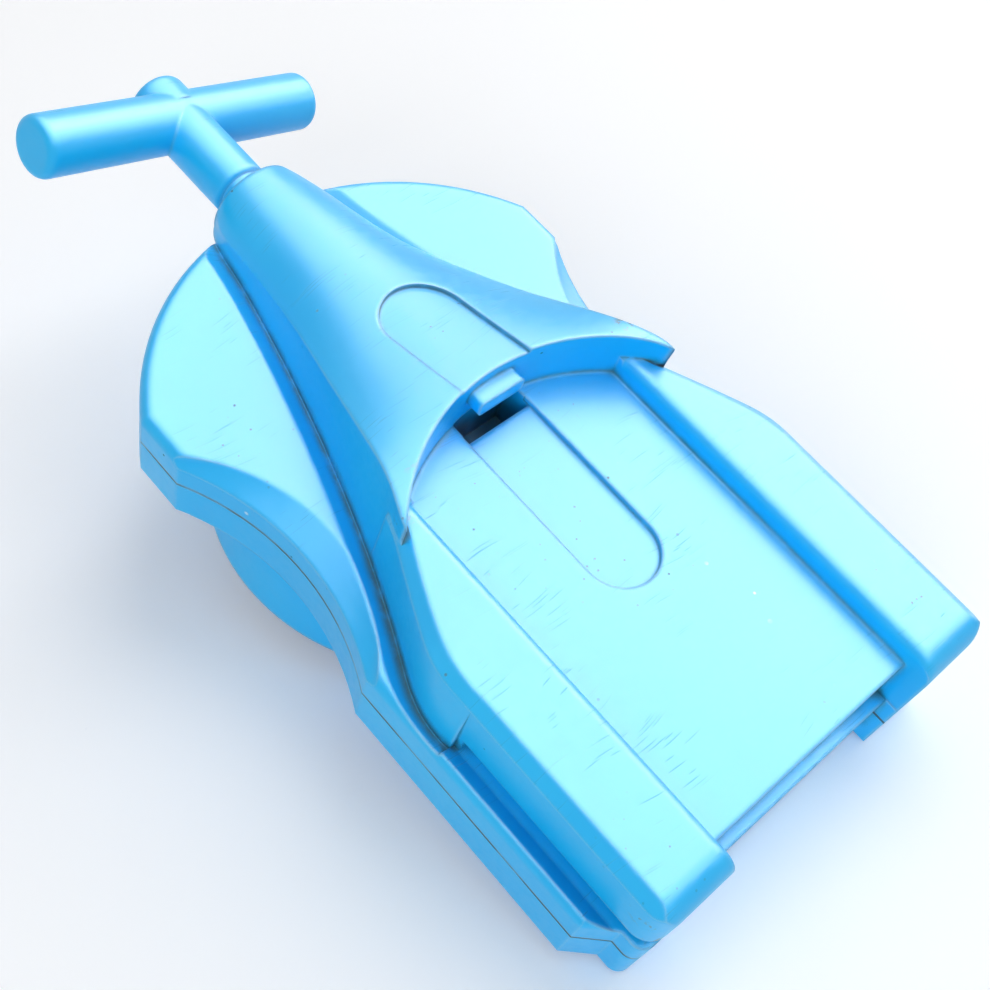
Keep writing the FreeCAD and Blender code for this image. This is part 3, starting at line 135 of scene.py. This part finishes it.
class Shader:
    """A material and the calls that add nodes to it."""

    def __init__(self, name):
        self.material = bpy.data.materials.new(name)
        self.material.use_nodes = True
        self.tree = self.material.node_tree
        self.tree.nodes.clear()
        self.output = self.add("ShaderNodeOutputMaterial")
        self.where = self.add("ShaderNodeTexCoord").outputs["Object"]
        drift = self.add("ShaderNodeTexNoise", {
            "Vector": self.where, "Scale": DRIFT_SCALE, "Detail": 1.0}).outputs["Color"]
        drift = self.add("ShaderNodeVectorMath", {0: drift, "Scale": DRIFT_REACH}, operation="SCALE").outputs[0]
        self.swirl = self.add("ShaderNodeVectorMath", {0: self.where, 1: drift}, operation="ADD").outputs[0]

    def add(self, kind, inputs=None, **settings):
        """A node with its settings, its inputs linked where they are outputs of other nodes."""
        node = self.tree.nodes.new(kind)
        for key, value in settings.items():
            setattr(node, key, value)
        for key, value in (inputs or {}).items():
            if isinstance(value, bpy.types.NodeSocket):
                self.tree.links.new(value, node.inputs[key])
            else:
                node.inputs[key].default_value = value
        return node

    def math(self, operation, first, second=0.0):
        return self.add("ShaderNodeMath", {0: first, 1: second}, operation=operation).outputs[0]

    def times(self, value, *shares):
        for share in shares:
            value = self.math("MULTIPLY", value, share)
        return value

    def highest(self, values):
        top = values[0]
        for value in values[1:]:
            top = self.math("MAXIMUM", top, value)
        return top

    def ramp(self, value, low, high, start=0.0, end=1.0):
        node = self.add("ShaderNodeMapRange", {
            "Value": value, "From Min": low, "From Max": high, "To Min": start, "To Max": end},
            interpolation_type="SMOOTHSTEP")
        return node.outputs[0]

    def noise(self, scale, detail, vector=None, roughness=0.5):
        node = self.add("ShaderNodeTexNoise", {
            "Vector": vector or self.where, "Scale": scale, "Detail": detail, "Roughness": roughness})
        return node.outputs["Fac"]

    def upward(self, vector):
        return self.add("ShaderNodeSeparateXYZ", {"Vector": vector}).outputs["Z"]

    def turned(self, angle, stretch, shift=0.0, curved=False):
        """The place on the toy, turned about the upright axis and stretched, or drifting in curves too."""
        node = self.add("ShaderNodeMapping", {
            "Vector": self.swirl if curved else self.where, "Rotation": (0.0, 0.0, angle),
            "Scale": stretch, "Location": (shift, shift, shift)})
        return node.outputs[0]

    def mix(self, share, first, second):
        node = self.add("ShaderNodeMix", data_type="RGBA")
        for socket, value in ((node.inputs[0], share), (node.inputs[6], first), (node.inputs[7], second)):
            if isinstance(value, bpy.types.NodeSocket):
                self.tree.links.new(value, socket)
            else:
                socket.default_value = value if socket is node.inputs[0] else (*value, 1.0)
        return node.outputs[2]

    def in_some_cells(self, cells, channel, near, share):
        """The near part of only some cells, picked by a channel of the cells' random colours."""
        chosen = self.add("ShaderNodeSeparateColor", {"Color": cells.outputs["Color"]}).outputs[channel]
        return self.times(near, self.math("LESS_THAN", chosen, share))

    def specks(self, scale, size, share, shift=0.0):
        """Small round spots in some of the cells of a Voronoi pattern."""
        place = self.turned(0.4, (1.0, 1.0, 1.0), shift)
        cells = self.add("ShaderNodeTexVoronoi", {"Vector": place, "Scale": scale})
        return self.in_some_cells(cells, 0, self.ramp(cells.outputs["Distance"], size, size * 0.6), share)

    def scratches(self, angle, length, width, share, shift=0.0):
        """Thin strokes along one direction: the middles of some cells of a pattern drawn out long."""
        place = self.turned(angle, (1.0 / length, 1.0 / width, 1.0 / length), shift, True)
        cells = self.add("ShaderNodeTexVoronoi", {"Vector": place, "Scale": 1.0, "Randomness": 1.0},
                         voronoi_dimensions="2D")
        return self.in_some_cells(cells, 1, self.ramp(cells.outputs["Distance"], 0.22, 0.12), share)

    def near(self, place, reach):
        """One at a place on the toy and fading to nothing at the reach, both in millimetres."""
        away = self.add("ShaderNodeVectorMath", {0: self.where, 1: tuple(c * MM for c in place)},
                        operation="DISTANCE").outputs["Value"]
        return self.ramp(away, reach * MM, 0.25 * reach * MM)

    def finish(self, colour, roughness, height, strength, distance, normal=None, **fixed):
        bump = {"Height": height, "Strength": strength, "Distance": distance}
        if normal is not None:
            bump["Normal"] = normal
        raised = self.add("ShaderNodeBump", bump).outputs[0]
        shader = self.add("ShaderNodeBsdfPrincipled", {
            "Base Color": colour, "Roughness": roughness, "Normal": raised, **fixed})
        self.tree.links.new(shader.outputs[0], self.output.inputs[0])
        return self.material


def mark_pattern(m, specks):
    """How a mark breaks up: evenly (as the painted shade does), a smear, or specks of two sizes."""
    if specks == EVEN:
        return 1.0
    if specks == SMEAR:
        return m.ramp(m.noise(700.0, 4.0, roughness=0.7), 0.53, 0.60)
    return m.highest([m.specks(specks, 0.16, 0.30), m.specks(specks * 0.45, 0.09, 0.25, 0.6)])


def moulded_plastic(name, colour, worn, roughness, wear=1.0, grime_and_shade=1.0, seam=False, marks_and_shade=()):
    """Moulded plastic: mottled colour, a painted highlight along the rounded edges, painted shade in the
    corners and grime there that is partly dirt and partly painted shade, fine scratches, specks, and the marks
    that this piece carries."""
    m = Shader(name)
    rolled = m.add("ShaderNodeBevel", {"Radius": EDGE_ROLL}, samples=LOOK_SAMPLES).outputs[0]
    flat = m.add("ShaderNodeNewGeometry").outputs["Normal"]
    alike = m.add("ShaderNodeVectorMath", {0: rolled, 1: flat}, operation="DOT_PRODUCT").outputs["Value"]
    openness = m.add("ShaderNodeAmbientOcclusion", {"Distance": CORNER_REACH},
                     samples=LOOK_SAMPLES).outputs["AO"]
    above = m.upward(m.where)
    off_floor = m.ramp(above, NO_DIRT_OR_SHADE_BELOW, NO_DIRT_OR_SHADE_BELOW + NO_DIRT_OR_SHADE_FADE)

    grain = m.noise(GRAIN_SCALE, 4.0)
    # Painted highlight: where the rounded normal turns from the flat one and the side is open
    edge = m.times(m.ramp(alike, *EDGE_BEND), m.ramp(openness, *OPEN_SIDE))
    scratched = m.highest([m.scratches(angle, length, width, share * wear, shift)
                           for angle, length, width, share, shift in SCRATCH_KINDS])
    scratched = m.times(scratched, m.ramp(m.noise(90.0, 2.0), *SCRATCHED_PATCHES),
                        m.ramp(m.upward(flat), *FACES_UP))
    specks = m.times(m.specks(420.0, 0.10, 0.14 * wear), m.ramp(m.noise(60.0, 1.0), *SPECK_PATCHES))
    # Painted shade in the corners, and grime there that is partly dirt and partly painted shade
    shade = m.times(m.ramp(openness, *SHADED_CORNER), off_floor)
    dirt_and_shade = m.times(m.ramp(openness, *DIRTY_SHADED_CORNER), m.ramp(m.noise(420.0, 3.0), *DIRT_AND_SHADE_PATCHES), off_floor)

    tint = m.mix(m.ramp(m.noise(MOTTLE_SCALE, 3.0), *MOTTLE), colour, worn)
    # The painted highlight along the edges
    tint = m.mix(m.times(edge, EDGE_HIGHLIGHT_STRENGTH), tint, EDGE_HIGHLIGHT_COLOUR)
    tint = m.mix(m.times(scratched, SCRATCH_STRENGTH), tint, tuple(SCRATCH_SHARE_OF_COLOUR * c for c in colour))
    tint = m.mix(m.times(specks, SPECK_STRENGTH), tint, SPECK_COLOUR)
    # Painted shade in the corners, then grime that is partly dirt and partly painted shade
    tint = m.mix(m.times(shade, SHADE_STRENGTH * grime_and_shade), tint, SHADE_COLOUR)
    tint = m.mix(m.times(dirt_and_shade, GRIME_AND_SHADE_STRENGTH * grime_and_shade), tint, GRIME_AND_SHADE_COLOUR)
    if seam:
        off = m.math("ABSOLUTE", m.math("SUBTRACT", above, PARTING_HEIGHT))
        filled = m.ramp(m.noise(160.0, 2.0), 0.25, 0.6, 0.35, 0.95)
        tint = m.mix(m.times(m.ramp(off, *PARTING_LINE), filled), tint, SEAM_COLOUR)
    # Marks: dirt, specks, and the even painted shade in the window under the lip
    for mark_colour, strength, kind, places in marks_and_shade:
        patch = m.highest([m.near(place, reach) for place, reach in places])
        tint = m.mix(m.times(patch, mark_pattern(m, kind), strength), tint, mark_colour)

    rough = m.math("ADD", m.ramp(grain, 0.3, 0.8, roughness, roughness + GRAIN_ROUGHNESS),
                   m.times(m.highest([scratched, shade, specks]), WORN_ROUGHNESS))
    height = m.math("SUBTRACT", m.times(grain, GRAIN_HEIGHT), m.times(scratched, SCRATCH_DEPTH))
    return m.finish(tint, rough, height, RELIEF_STRENGTH, RELIEF, rolled, IOR=PLASTIC_IOR)


def steel(name, colour, roughness):
    """Drawn steel with a fine grain along its length."""
    m = Shader(name)
    grain = m.noise(1.0, 3.0, m.turned(0.0, (300.0, 300.0, 4000.0)))
    rough = m.ramp(grain, 0.3, 0.7, roughness, roughness + 0.15)
    tint = m.mix(m.ramp(m.noise(500.0, 3.0), 0.4, 0.75), colour, tuple(0.7 * c for c in colour))
    return m.finish(tint, rough, grain, 0.1, 0.02 * MM, Metallic=1.0)


def fibre(name):
    """Dull off-white fibre with the fine waves of its filaments."""
    m = Shader(name)
    waves = m.add("ShaderNodeTexWave", {
        "Vector": m.where, "Scale": 900.0, "Distortion": 1.5, "Detail": 2.0}).outputs["Fac"]
    tint = m.mix(waves, (0.55, 0.55, 0.52), (0.86, 0.86, 0.82))
    return m.finish(tint, 0.8, waves, 0.6, 0.1 * MM)


CASING = moulded_plastic("casing_plastic", (0.003, 0.46, 0.92), (0.008, 0.50, 0.94), 0.28,
                         seam=True, marks_and_shade=CASING_MARKS_AND_SHADE)
HANDLE = moulded_plastic("handle_plastic", (0.003, 0.47, 0.92), (0.008, 0.50, 0.94), 0.32, 0.3, 0.3)
INNER = moulded_plastic("inner_plastic", (0.70, 0.70, 0.66), (0.78, 0.78, 0.74), 0.45, 0.3)
DARK = moulded_plastic("dark_plastic", (0.02, 0.02, 0.024), (0.03, 0.03, 0.035), 0.4, 0.3)
SPRING = steel("spring_steel", (0.36, 0.37, 0.42), 0.25)
SCREW = steel("screw_steel", (0.62, 0.62, 0.63), 0.30)
STRING = fibre("string_fibre")

FINISHES = {
    "casing_blue": CASING, "handle_blue": HANDLE, "inner_plastic": INNER, "dark_plastic": DARK,
    "spring_steel": SPRING, "screw_steel": SCREW, "string_fibre": STRING,
}


# Finishes of the pieces carried over from the frame

def finish_frame_pieces():
    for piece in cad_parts.values():
        for material_slot in piece.material_slots:
            known = material_slot.material.name if material_slot.material else ""
            for slot_name, material in FINISHES.items():
                if slot_name in known:
                    material_slot.material = material


finish_frame_pieces()


def shown_piece(bm, name, slot_name, sharp_angle=None):
    """A smooth piece of the scene with the finish named by its slot name, and its sharp edges where asked."""
    mesh = bpy.data.meshes.new(name)
    bm.to_mesh(mesh)
    bm.free()
    if sharp_angle is not None:
        mesh.set_sharp_from_angle(angle=sharp_angle)
    for face in mesh.polygons:
        face.use_smooth = True
    piece = bpy.data.objects.new(name, mesh)
    piece.data.materials.append(FINISHES[slot_name])
    bpy.context.scene.collection.objects.link(piece)
    return piece


# String

STRAND_SIDES = 10
STRAND_COUNT = 3
STRAND_RADIUS = 0.24 * MM
STRAND_OFFSET = 0.21 * MM
STRAND_TWIST = 1400.0
STRING_RADIUS = 0.45 * MM
STRING_STEPS = 90
BUSH_MOUTH_GAP = 0.3 * MM
BUSH_DIP = 2.05 * MM
LEVEL_FROM_BUSH = 13.5 * MM
WINDING_LOW, WINDING_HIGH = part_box("string_winding")
WINDING_TURNS = 3
STEPS_A_TURN = 48
LAYER_DEPTH = 0.8 * MM
WOUND_RADIUS = 0.42 * MM
WOUND_SIDES = 12


def string_piece(bm, name):
    bmesh.ops.remove_doubles(bm, verts=bm.verts, dist=1e-7)
    bmesh.ops.recalc_face_normals(bm, faces=bm.faces)
    return shown_piece(bm, name, "string_fibre")


def laid_string(bm, path):
    """Three strands twisted round the path, carried along it ring by ring."""
    start = Vector(path[0])
    along = (Vector(path[1]) - start).normalized()
    level = along.to_track_quat("Z", "Y").to_matrix().to_4x4()
    ring = []
    for strand in range(STRAND_COUNT):
        turn = Matrix.Rotation(strand * math.tau / STRAND_COUNT, 4, "Z")
        seat = Matrix.Translation(start) @ level @ turn @ Matrix.Translation((STRAND_OFFSET, 0.0, 0.0))
        made = bmesh.ops.create_circle(
            bm, cap_ends=True, segments=STRAND_SIDES, radius=STRAND_RADIUS, matrix=seat)
        ring.extend(made["verts"])
    edges = list({edge for vert in ring for edge in vert.link_edges})
    here = start
    for place in path[1:]:
        there = Vector(place)
        grown = bmesh.ops.extrude_edge_only(bm, edges=edges)["geom"]
        ring = [item for item in grown if isinstance(item, bmesh.types.BMVert)]
        edges = [item for item in grown if isinstance(item, bmesh.types.BMEdge)]
        step = there - here
        bend = along.rotation_difference(step.normalized()).to_matrix().to_4x4()
        spin = Matrix.Rotation(STRAND_TWIST * step.length, 4, along)
        carried = Matrix.Translation(there) @ bend @ spin @ Matrix.Translation(-here)
        bmesh.ops.transform(bm, matrix=carried, verts=ring)
        along = step.normalized()
        here = there
    bmesh.ops.edgeloop_fill(bm, edges=edges)


def along_runs(corners, steps):
    """Places along straight runs, a share of the steps for each run."""
    total = sum((Vector(b) - Vector(a)).length for a, b in zip(corners, corners[1:]))
    places = [Vector(corners[0])]
    for a, b in zip(corners, corners[1:]):
        count = max(2, round(steps * (Vector(b) - Vector(a)).length / total))
        places += [Vector(a).lerp(Vector(b), step / count) for step in range(1, count + 1)]
    return places


def make_pull_string():
    """The run from the reel over the bush into the handle's stem, laid at rest; the real string is drawn out
    when the handle is pulled.
    """
    low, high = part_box("pull_string")
    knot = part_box("string_knot")
    axis_z = (knot[0].z + knot[1].z) / 2
    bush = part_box("neck_bush")[0].y
    corners = [(high.x - STRING_RADIUS, low.y + STRING_RADIUS, low.z + STRING_RADIUS),
               (0.0, bush - BUSH_MOUTH_GAP, axis_z - BUSH_DIP),
               (0.0, bush + LEVEL_FROM_BUSH, axis_z),
               (0.0, high.y, axis_z)]
    bm = bmesh.new()
    laid_string(bm, along_runs(corners, STRING_STEPS))
    piece = string_piece(bm, "laid_pull_string")
    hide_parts("pull_string")
    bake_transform(piece)


def make_string_winding():
    """The wound turns: two layers, each a helix of turns that lie side by side."""
    bm = bmesh.new()
    rise = (WINDING_HIGH.z - WINDING_LOW.z - 2 * STRING_RADIUS) / WINDING_TURNS
    bottom, top = WINDING_LOW.z + STRING_RADIUS, WINDING_HIGH.z - STRING_RADIUS
    for layer, start_z, way in ((0, bottom, 1.0), (1, top, -1.0)):
        radius = WINDING_HIGH.x - STRING_RADIUS - layer * LAYER_DEPTH
        seat = Matrix.Translation((radius, 0.0, start_z)) @ Matrix.Rotation(math.pi / 2, 4, "X")
        made = bmesh.ops.create_circle(
            bm, cap_ends=True, segments=WOUND_SIDES, radius=WOUND_RADIUS, matrix=seat)
        faces = list({face for vert in made["verts"] for face in vert.link_faces})
        bmesh.ops.spin(
            bm, geom=faces, cent=(0.0, 0.0, 0.0), axis=(0.0, 0.0, 1.0),
            dvec=(0.0, 0.0, way * rise / STEPS_A_TURN), angle=math.tau * WINDING_TURNS,
            steps=STEPS_A_TURN * WINDING_TURNS, use_merge=False)
    piece = string_piece(bm, "wound_string")
    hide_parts("string_winding")
    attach(piece, "reel")


make_pull_string()
make_string_winding()


# Casing pieces that are drawn closer to the moulding than their solids are

SHARP_ANGLE = math.radians(30.0)
SAME_FACE_GAP = 0.002 * MM
SAME_FACING = 0.999
INTO_FACE = 0.02


def frame_copy(node):
    """A merged copy of a frame piece's mesh."""
    bm = bmesh.new()
    bm.from_mesh(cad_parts[node].data)
    bmesh.ops.remove_doubles(bm, verts=bm.verts, dist=1e-6)
    return bm


def keep_shading(mesh, node):
    """Gives the copy the frame piece's own normals wherever its faces weren't reshaped."""
    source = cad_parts[node].data
    tree = BVHTree.FromPolygons([vert.co for vert in source.vertices],
                                [face.vertices[:] for face in source.polygons])
    smooth = [normal.vector.copy() for normal in source.corner_normals]
    normals = [normal.vector.copy() for normal in mesh.corner_normals]
    for face in mesh.polygons:
        for corner, index in zip(face.loop_indices, face.vertices):
            place = mesh.vertices[index].co
            _, facing, found, gap = tree.find_nearest(place.lerp(face.center, INTO_FACE))
            if gap < SAME_FACE_GAP and facing.dot(face.normal) > SAME_FACING:
                under = source.polygons[found]
                rim = [source.vertices[i].co for i in under.vertices]
                blend = Vector()
                for share, i in zip(poly_3d_calc(rim, place), under.loop_indices):
                    blend += smooth[i] * share
                normals[corner] = blend.normalized()
    mesh.normals_split_custom_set(normals)


def casing_stand_in(bm, name, node):
    """The reshaped copy, shown in place of a frame piece of the root body."""
    piece = shown_piece(bm, name, "casing_blue", SHARP_ANGLE)
    keep_shading(piece.data, node)
    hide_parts(node)
    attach(piece, "root")


# Launch collar

COLLAR_MOULD_RADIUS = 28.7 * MM
COLLAR_DRAFT = 1.1 * MM
COLLAR_WALL = 1.2 * MM


def make_collar():
    """The collar with its draft: the drum is drawn in to the radius that clears the finger scoops."""
    low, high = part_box("launch_collar")
    bm = frame_copy("launch_collar")
    for vert in bm.verts:
        reach = vert.co.xy.length
        if reach > high.x - COLLAR_WALL:
            climb = (vert.co.z - low.z) / (high.z - low.z)
            share = (reach - (high.x - COLLAR_MOULD_RADIUS + COLLAR_DRAFT * climb)) / reach
            vert.co.x *= share
            vert.co.y *= share
    casing_stand_in(bm, "moulded_collar", "launch_collar")


# Spine and rails

NEAR = 0.02 * MM
RAIL_TOP_HEIGHT = 30.7 * MM
RAIL_ROUND_START = -63.6 * MM
RAIL_END = -67.0 * MM
CHANNEL_HALF_WIDTH = 17.8 * MM
CHANNEL_FLOOR_HEIGHT = 27.6 * MM
CHANNEL_EDGE_ROLL = 1.5 * MM
CHANNEL_ROLL_START = -13.0 * MM
CHANNEL_ROLL_STEPS = 5
SKIRT_HEIGHT = 22.4 * MM
SKIRT_START = -37.0 * MM
SKIRT_STEP = 0.05 * MM
SKIRT_SETBACK = 2.0 * MM
SKIRT_INSIDE = 26.0 * MM


def sliced(bm, place, normal):
    """New edges where a plane crosses the piece. Its shape stays as it is."""
    whole = bm.verts[:] + bm.edges[:] + bm.faces[:]
    bmesh.ops.bisect_plane(bm, geom=whole, plane_co=place, plane_no=normal, dist=1e-7)


def roll_channel_edges(bm):
    """Rolls the rails' inner top edges over into the channel."""
    sliced(bm, (0.0, CHANNEL_ROLL_START, 0.0), (0.0, 1.0, 0.0))
    for side in (-1.0, 1.0):
        for step in range(1, CHANNEL_ROLL_STEPS + 1):
            inward = CHANNEL_EDGE_ROLL * (1.0 - math.cos(math.pi / 2 * step / CHANNEL_ROLL_STEPS))
            sliced(bm, (side * (CHANNEL_HALF_WIDTH + inward), 0.0, 0.0), (1.0, 0.0, 0.0))
    for vert in bm.verts:
        within = CHANNEL_HALF_WIDTH + CHANNEL_EDGE_ROLL - abs(vert.co.x)
        on_top = CHANNEL_FLOOR_HEIGHT + NEAR < vert.co.z < RAIL_TOP_HEIGHT + NEAR
        behind_lip = vert.co.y < CHANNEL_ROLL_START + NEAR
        if on_top and behind_lip and 0.0 < within < CHANNEL_EDGE_ROLL + NEAR:
            drop = CHANNEL_EDGE_ROLL - math.sqrt(max(CHANNEL_EDGE_ROLL ** 2 - within ** 2, 0.0))
            from_end = (vert.co.y - RAIL_END) / (RAIL_ROUND_START - RAIL_END)
            vert.co.z -= drop * min(max(from_end, 0.0), 1.0)


def set_skirt_back(bm):
    """Draws the foot of the rails' outer walls in, so that a free edge overhangs the casing."""
    for lift in (0.0, SKIRT_STEP):
        sliced(bm, (0.0, 0.0, SKIRT_HEIGHT - lift), (0.0, 0.0, 1.0))
        sliced(bm, (0.0, SKIRT_START - lift, 0.0), (0.0, 1.0, 0.0))
    for vert in bm.verts:
        low = vert.co.z < SKIRT_HEIGHT - SKIRT_STEP / 2
        along = vert.co.y < SKIRT_START - SKIRT_STEP / 2
        if low and along and abs(vert.co.x) > SKIRT_INSIDE:
            vert.co.x -= math.copysign(SKIRT_SETBACK, vert.co.x)


def make_rail():
    """The spine and rails with rolled channel edges and the free lower edge at the tail."""
    bm = frame_copy("grip_rail")
    roll_channel_edges(bm)
    set_skirt_back(bm)
    casing_stand_in(bm, "moulded_rail", "grip_rail")


make_collar()
make_rail()


# Floor, light and camera

SEEN_RAYS = ("Is Camera Ray", "Is Glossy Ray", "Is Transmission Ray")
PAPER_LIT = (0.90, 0.905, 0.92)
PAPER_SEEN = (1.14, 1.14, 1.15)
PAPER_SPECK_COLOUR = (0.50, 0.50, 0.53)
PAPER_SPECK_STRENGTH = 0.4
PAPER_FADE = (0.13, 0.30)
FLOOR_RADIUS = 0.32
FLOOR_SIDES = 96
TAIL_REST_HEIGHT = 8.98 * MM
TAIL_REST_SLOPE = math.atan2(9.0, 37.2)

WORLD_SEEN = ((0.99, 0.99, 1.0, 1.0), 1.0)
WORLD_LIGHT = ((0.96, 0.98, 1.0, 1.0), 0.42)

# Round softboxes: name, direction from the toy, distance, size, radiance, and whether the lamp is
# only what the surfaces mirror (otherwise it only lights them)
LAMPS = (
    ("key", (0.46, 0.26, 0.85), 0.60, 0.44, 2.2, False),
    ("fill", (-0.9, -0.5, 0.7), 0.80, 0.60, 2.8, False),
    ("side", (0.95, 0.05, 0.45), 0.80, 0.60, 1.6, False),
    ("side_shine", (0.95, 0.05, 0.45), 0.80, 0.80, 6.0, True),
    ("key_shine", (0.46, 0.26, 0.85), 0.60, 0.50, 9.5, True),
    ("ceiling_shine", (0.36, 0.20, 0.91), 0.75, 1.60, 7.5, True),
)
LAMP_AIM = (0.0, -12.0 * MM, 20.0 * MM)

PICTURE_PIXELS = 990.0
FOCAL_PIXELS = 1451.5
SENSOR_WIDTH = 36.0
CAMERA_PLACE = (-90.778 * MM, -62.556 * MM, 172.525 * MM)
CAMERA_VIEW = (0.48035, 0.26311, -0.83668)
CAMERA_RIGHT = (0.72319, -0.65855, 0.2081)


def paper():
    """White paper that fades out round the toy and from below. What is seen of it is a little
    lighter than what it throws back on the toy."""
    m = Shader("floor_paper")
    rays = m.add("ShaderNodeLightPath").outputs
    white = m.mix(m.highest([rays[kind] for kind in SEEN_RAYS]), PAPER_LIT, PAPER_SEEN)
    specks = m.times(m.specks(260.0, 0.05, 0.05), PAPER_SPECK_STRENGTH)
    sheet = m.add("ShaderNodeBsdfDiffuse", {"Color": m.mix(specks, white, PAPER_SPECK_COLOUR)})
    clear = m.add("ShaderNodeBsdfTransparent")
    away = m.add("ShaderNodeVectorMath", {0: m.where}, operation="LENGTH").outputs["Value"]
    below = m.add("ShaderNodeNewGeometry").outputs["Backfacing"]
    gone = m.highest([m.ramp(away, *PAPER_FADE), below])
    both = m.add("ShaderNodeMixShader", {0: gone, 1: sheet.outputs[0], 2: clear.outputs[0]})
    m.tree.links.new(both.outputs[0], m.output.inputs[0])
    return m.material


def make_floor():
    """The sheet of paper that the toy lies on: it rests on its drum and the end of its tail."""
    mesh = bpy.data.meshes.new("floor")
    bm = bmesh.new()
    bmesh.ops.create_circle(bm, cap_ends=True, segments=FLOOR_SIDES, radius=FLOOR_RADIUS)
    lean = Matrix.Translation((0.0, RAIL_END, TAIL_REST_HEIGHT))
    lean = lean @ Matrix.Rotation(-TAIL_REST_SLOPE, 4, "X") @ Matrix.Translation((0.0, -RAIL_END, 0.0))
    bmesh.ops.transform(bm, matrix=lean, verts=bm.verts)
    bm.to_mesh(mesh)
    bm.free()
    floor = bpy.data.objects.new("floor", mesh)
    floor.data.materials.append(paper())
    bpy.context.scene.collection.objects.link(floor)


def make_world():
    """A white background, and a plain level of light on the toy."""
    world = bpy.data.worlds.new("studio")
    bpy.context.scene.world = world
    world.use_nodes = True
    tree = world.node_tree
    tree.nodes.clear()
    backgrounds = []
    for colour, strength in (WORLD_LIGHT, WORLD_SEEN):
        background = tree.nodes.new("ShaderNodeBackground")
        background.inputs["Color"].default_value = colour
        background.inputs["Strength"].default_value = strength
        backgrounds.append(background.outputs[0])
    rays = tree.nodes.new("ShaderNodeLightPath").outputs
    looked_at = rays[SEEN_RAYS[0]]
    for kind in SEEN_RAYS[1:]:
        either = tree.nodes.new("ShaderNodeMath")
        either.operation = "MAXIMUM"
        tree.links.new(looked_at, either.inputs[0])
        tree.links.new(rays[kind], either.inputs[1])
        looked_at = either.outputs[0]
    mixed = tree.nodes.new("ShaderNodeMixShader")
    output = tree.nodes.new("ShaderNodeOutputWorld")
    for source, target in zip((looked_at, *backgrounds), mixed.inputs):
        tree.links.new(source, target)
    tree.links.new(mixed.outputs[0], output.inputs[0])


def make_lamp(name, direction, distance, size, radiance, shine):
    light = bpy.data.lights.new(name, "AREA")
    light.shape = "DISK"
    light.size = size
    light.energy = radiance * math.pi * math.pi * size * size / 4.0
    lamp = bpy.data.objects.new(name, light)
    lamp.visible_diffuse = not shine
    lamp.visible_glossy = shine
    toward = Vector(direction).normalized()
    lamp.location = Vector(LAMP_AIM) + toward * distance
    lamp.rotation_euler = toward.to_track_quat("Z", "Y").to_euler()
    bpy.context.scene.collection.objects.link(lamp)


def make_camera():
    """The place and the lens that the photo was taken with."""
    camera = bpy.data.cameras.new("camera")
    camera.sensor_width = SENSOR_WIDTH
    camera.lens = SENSOR_WIDTH * FOCAL_PIXELS / PICTURE_PIXELS
    camera.clip_start = 0.01
    view = Vector(CAMERA_VIEW).normalized()
    right = Vector(CAMERA_RIGHT)
    right = (right - view * right.dot(view)).normalized()
    turn = Matrix((right, right.cross(view), -view)).transposed().to_4x4()
    holder = bpy.data.objects.new("camera", camera)
    holder.matrix_world = Matrix.Translation(CAMERA_PLACE) @ turn
    bpy.context.scene.collection.objects.link(holder)
    bpy.context.scene.camera = holder


make_floor()
make_world()
for lamp_row in LAMPS:
    make_lamp(*lamp_row)
make_camera()
bpy.context.scene.view_settings.view_transform = "Standard"
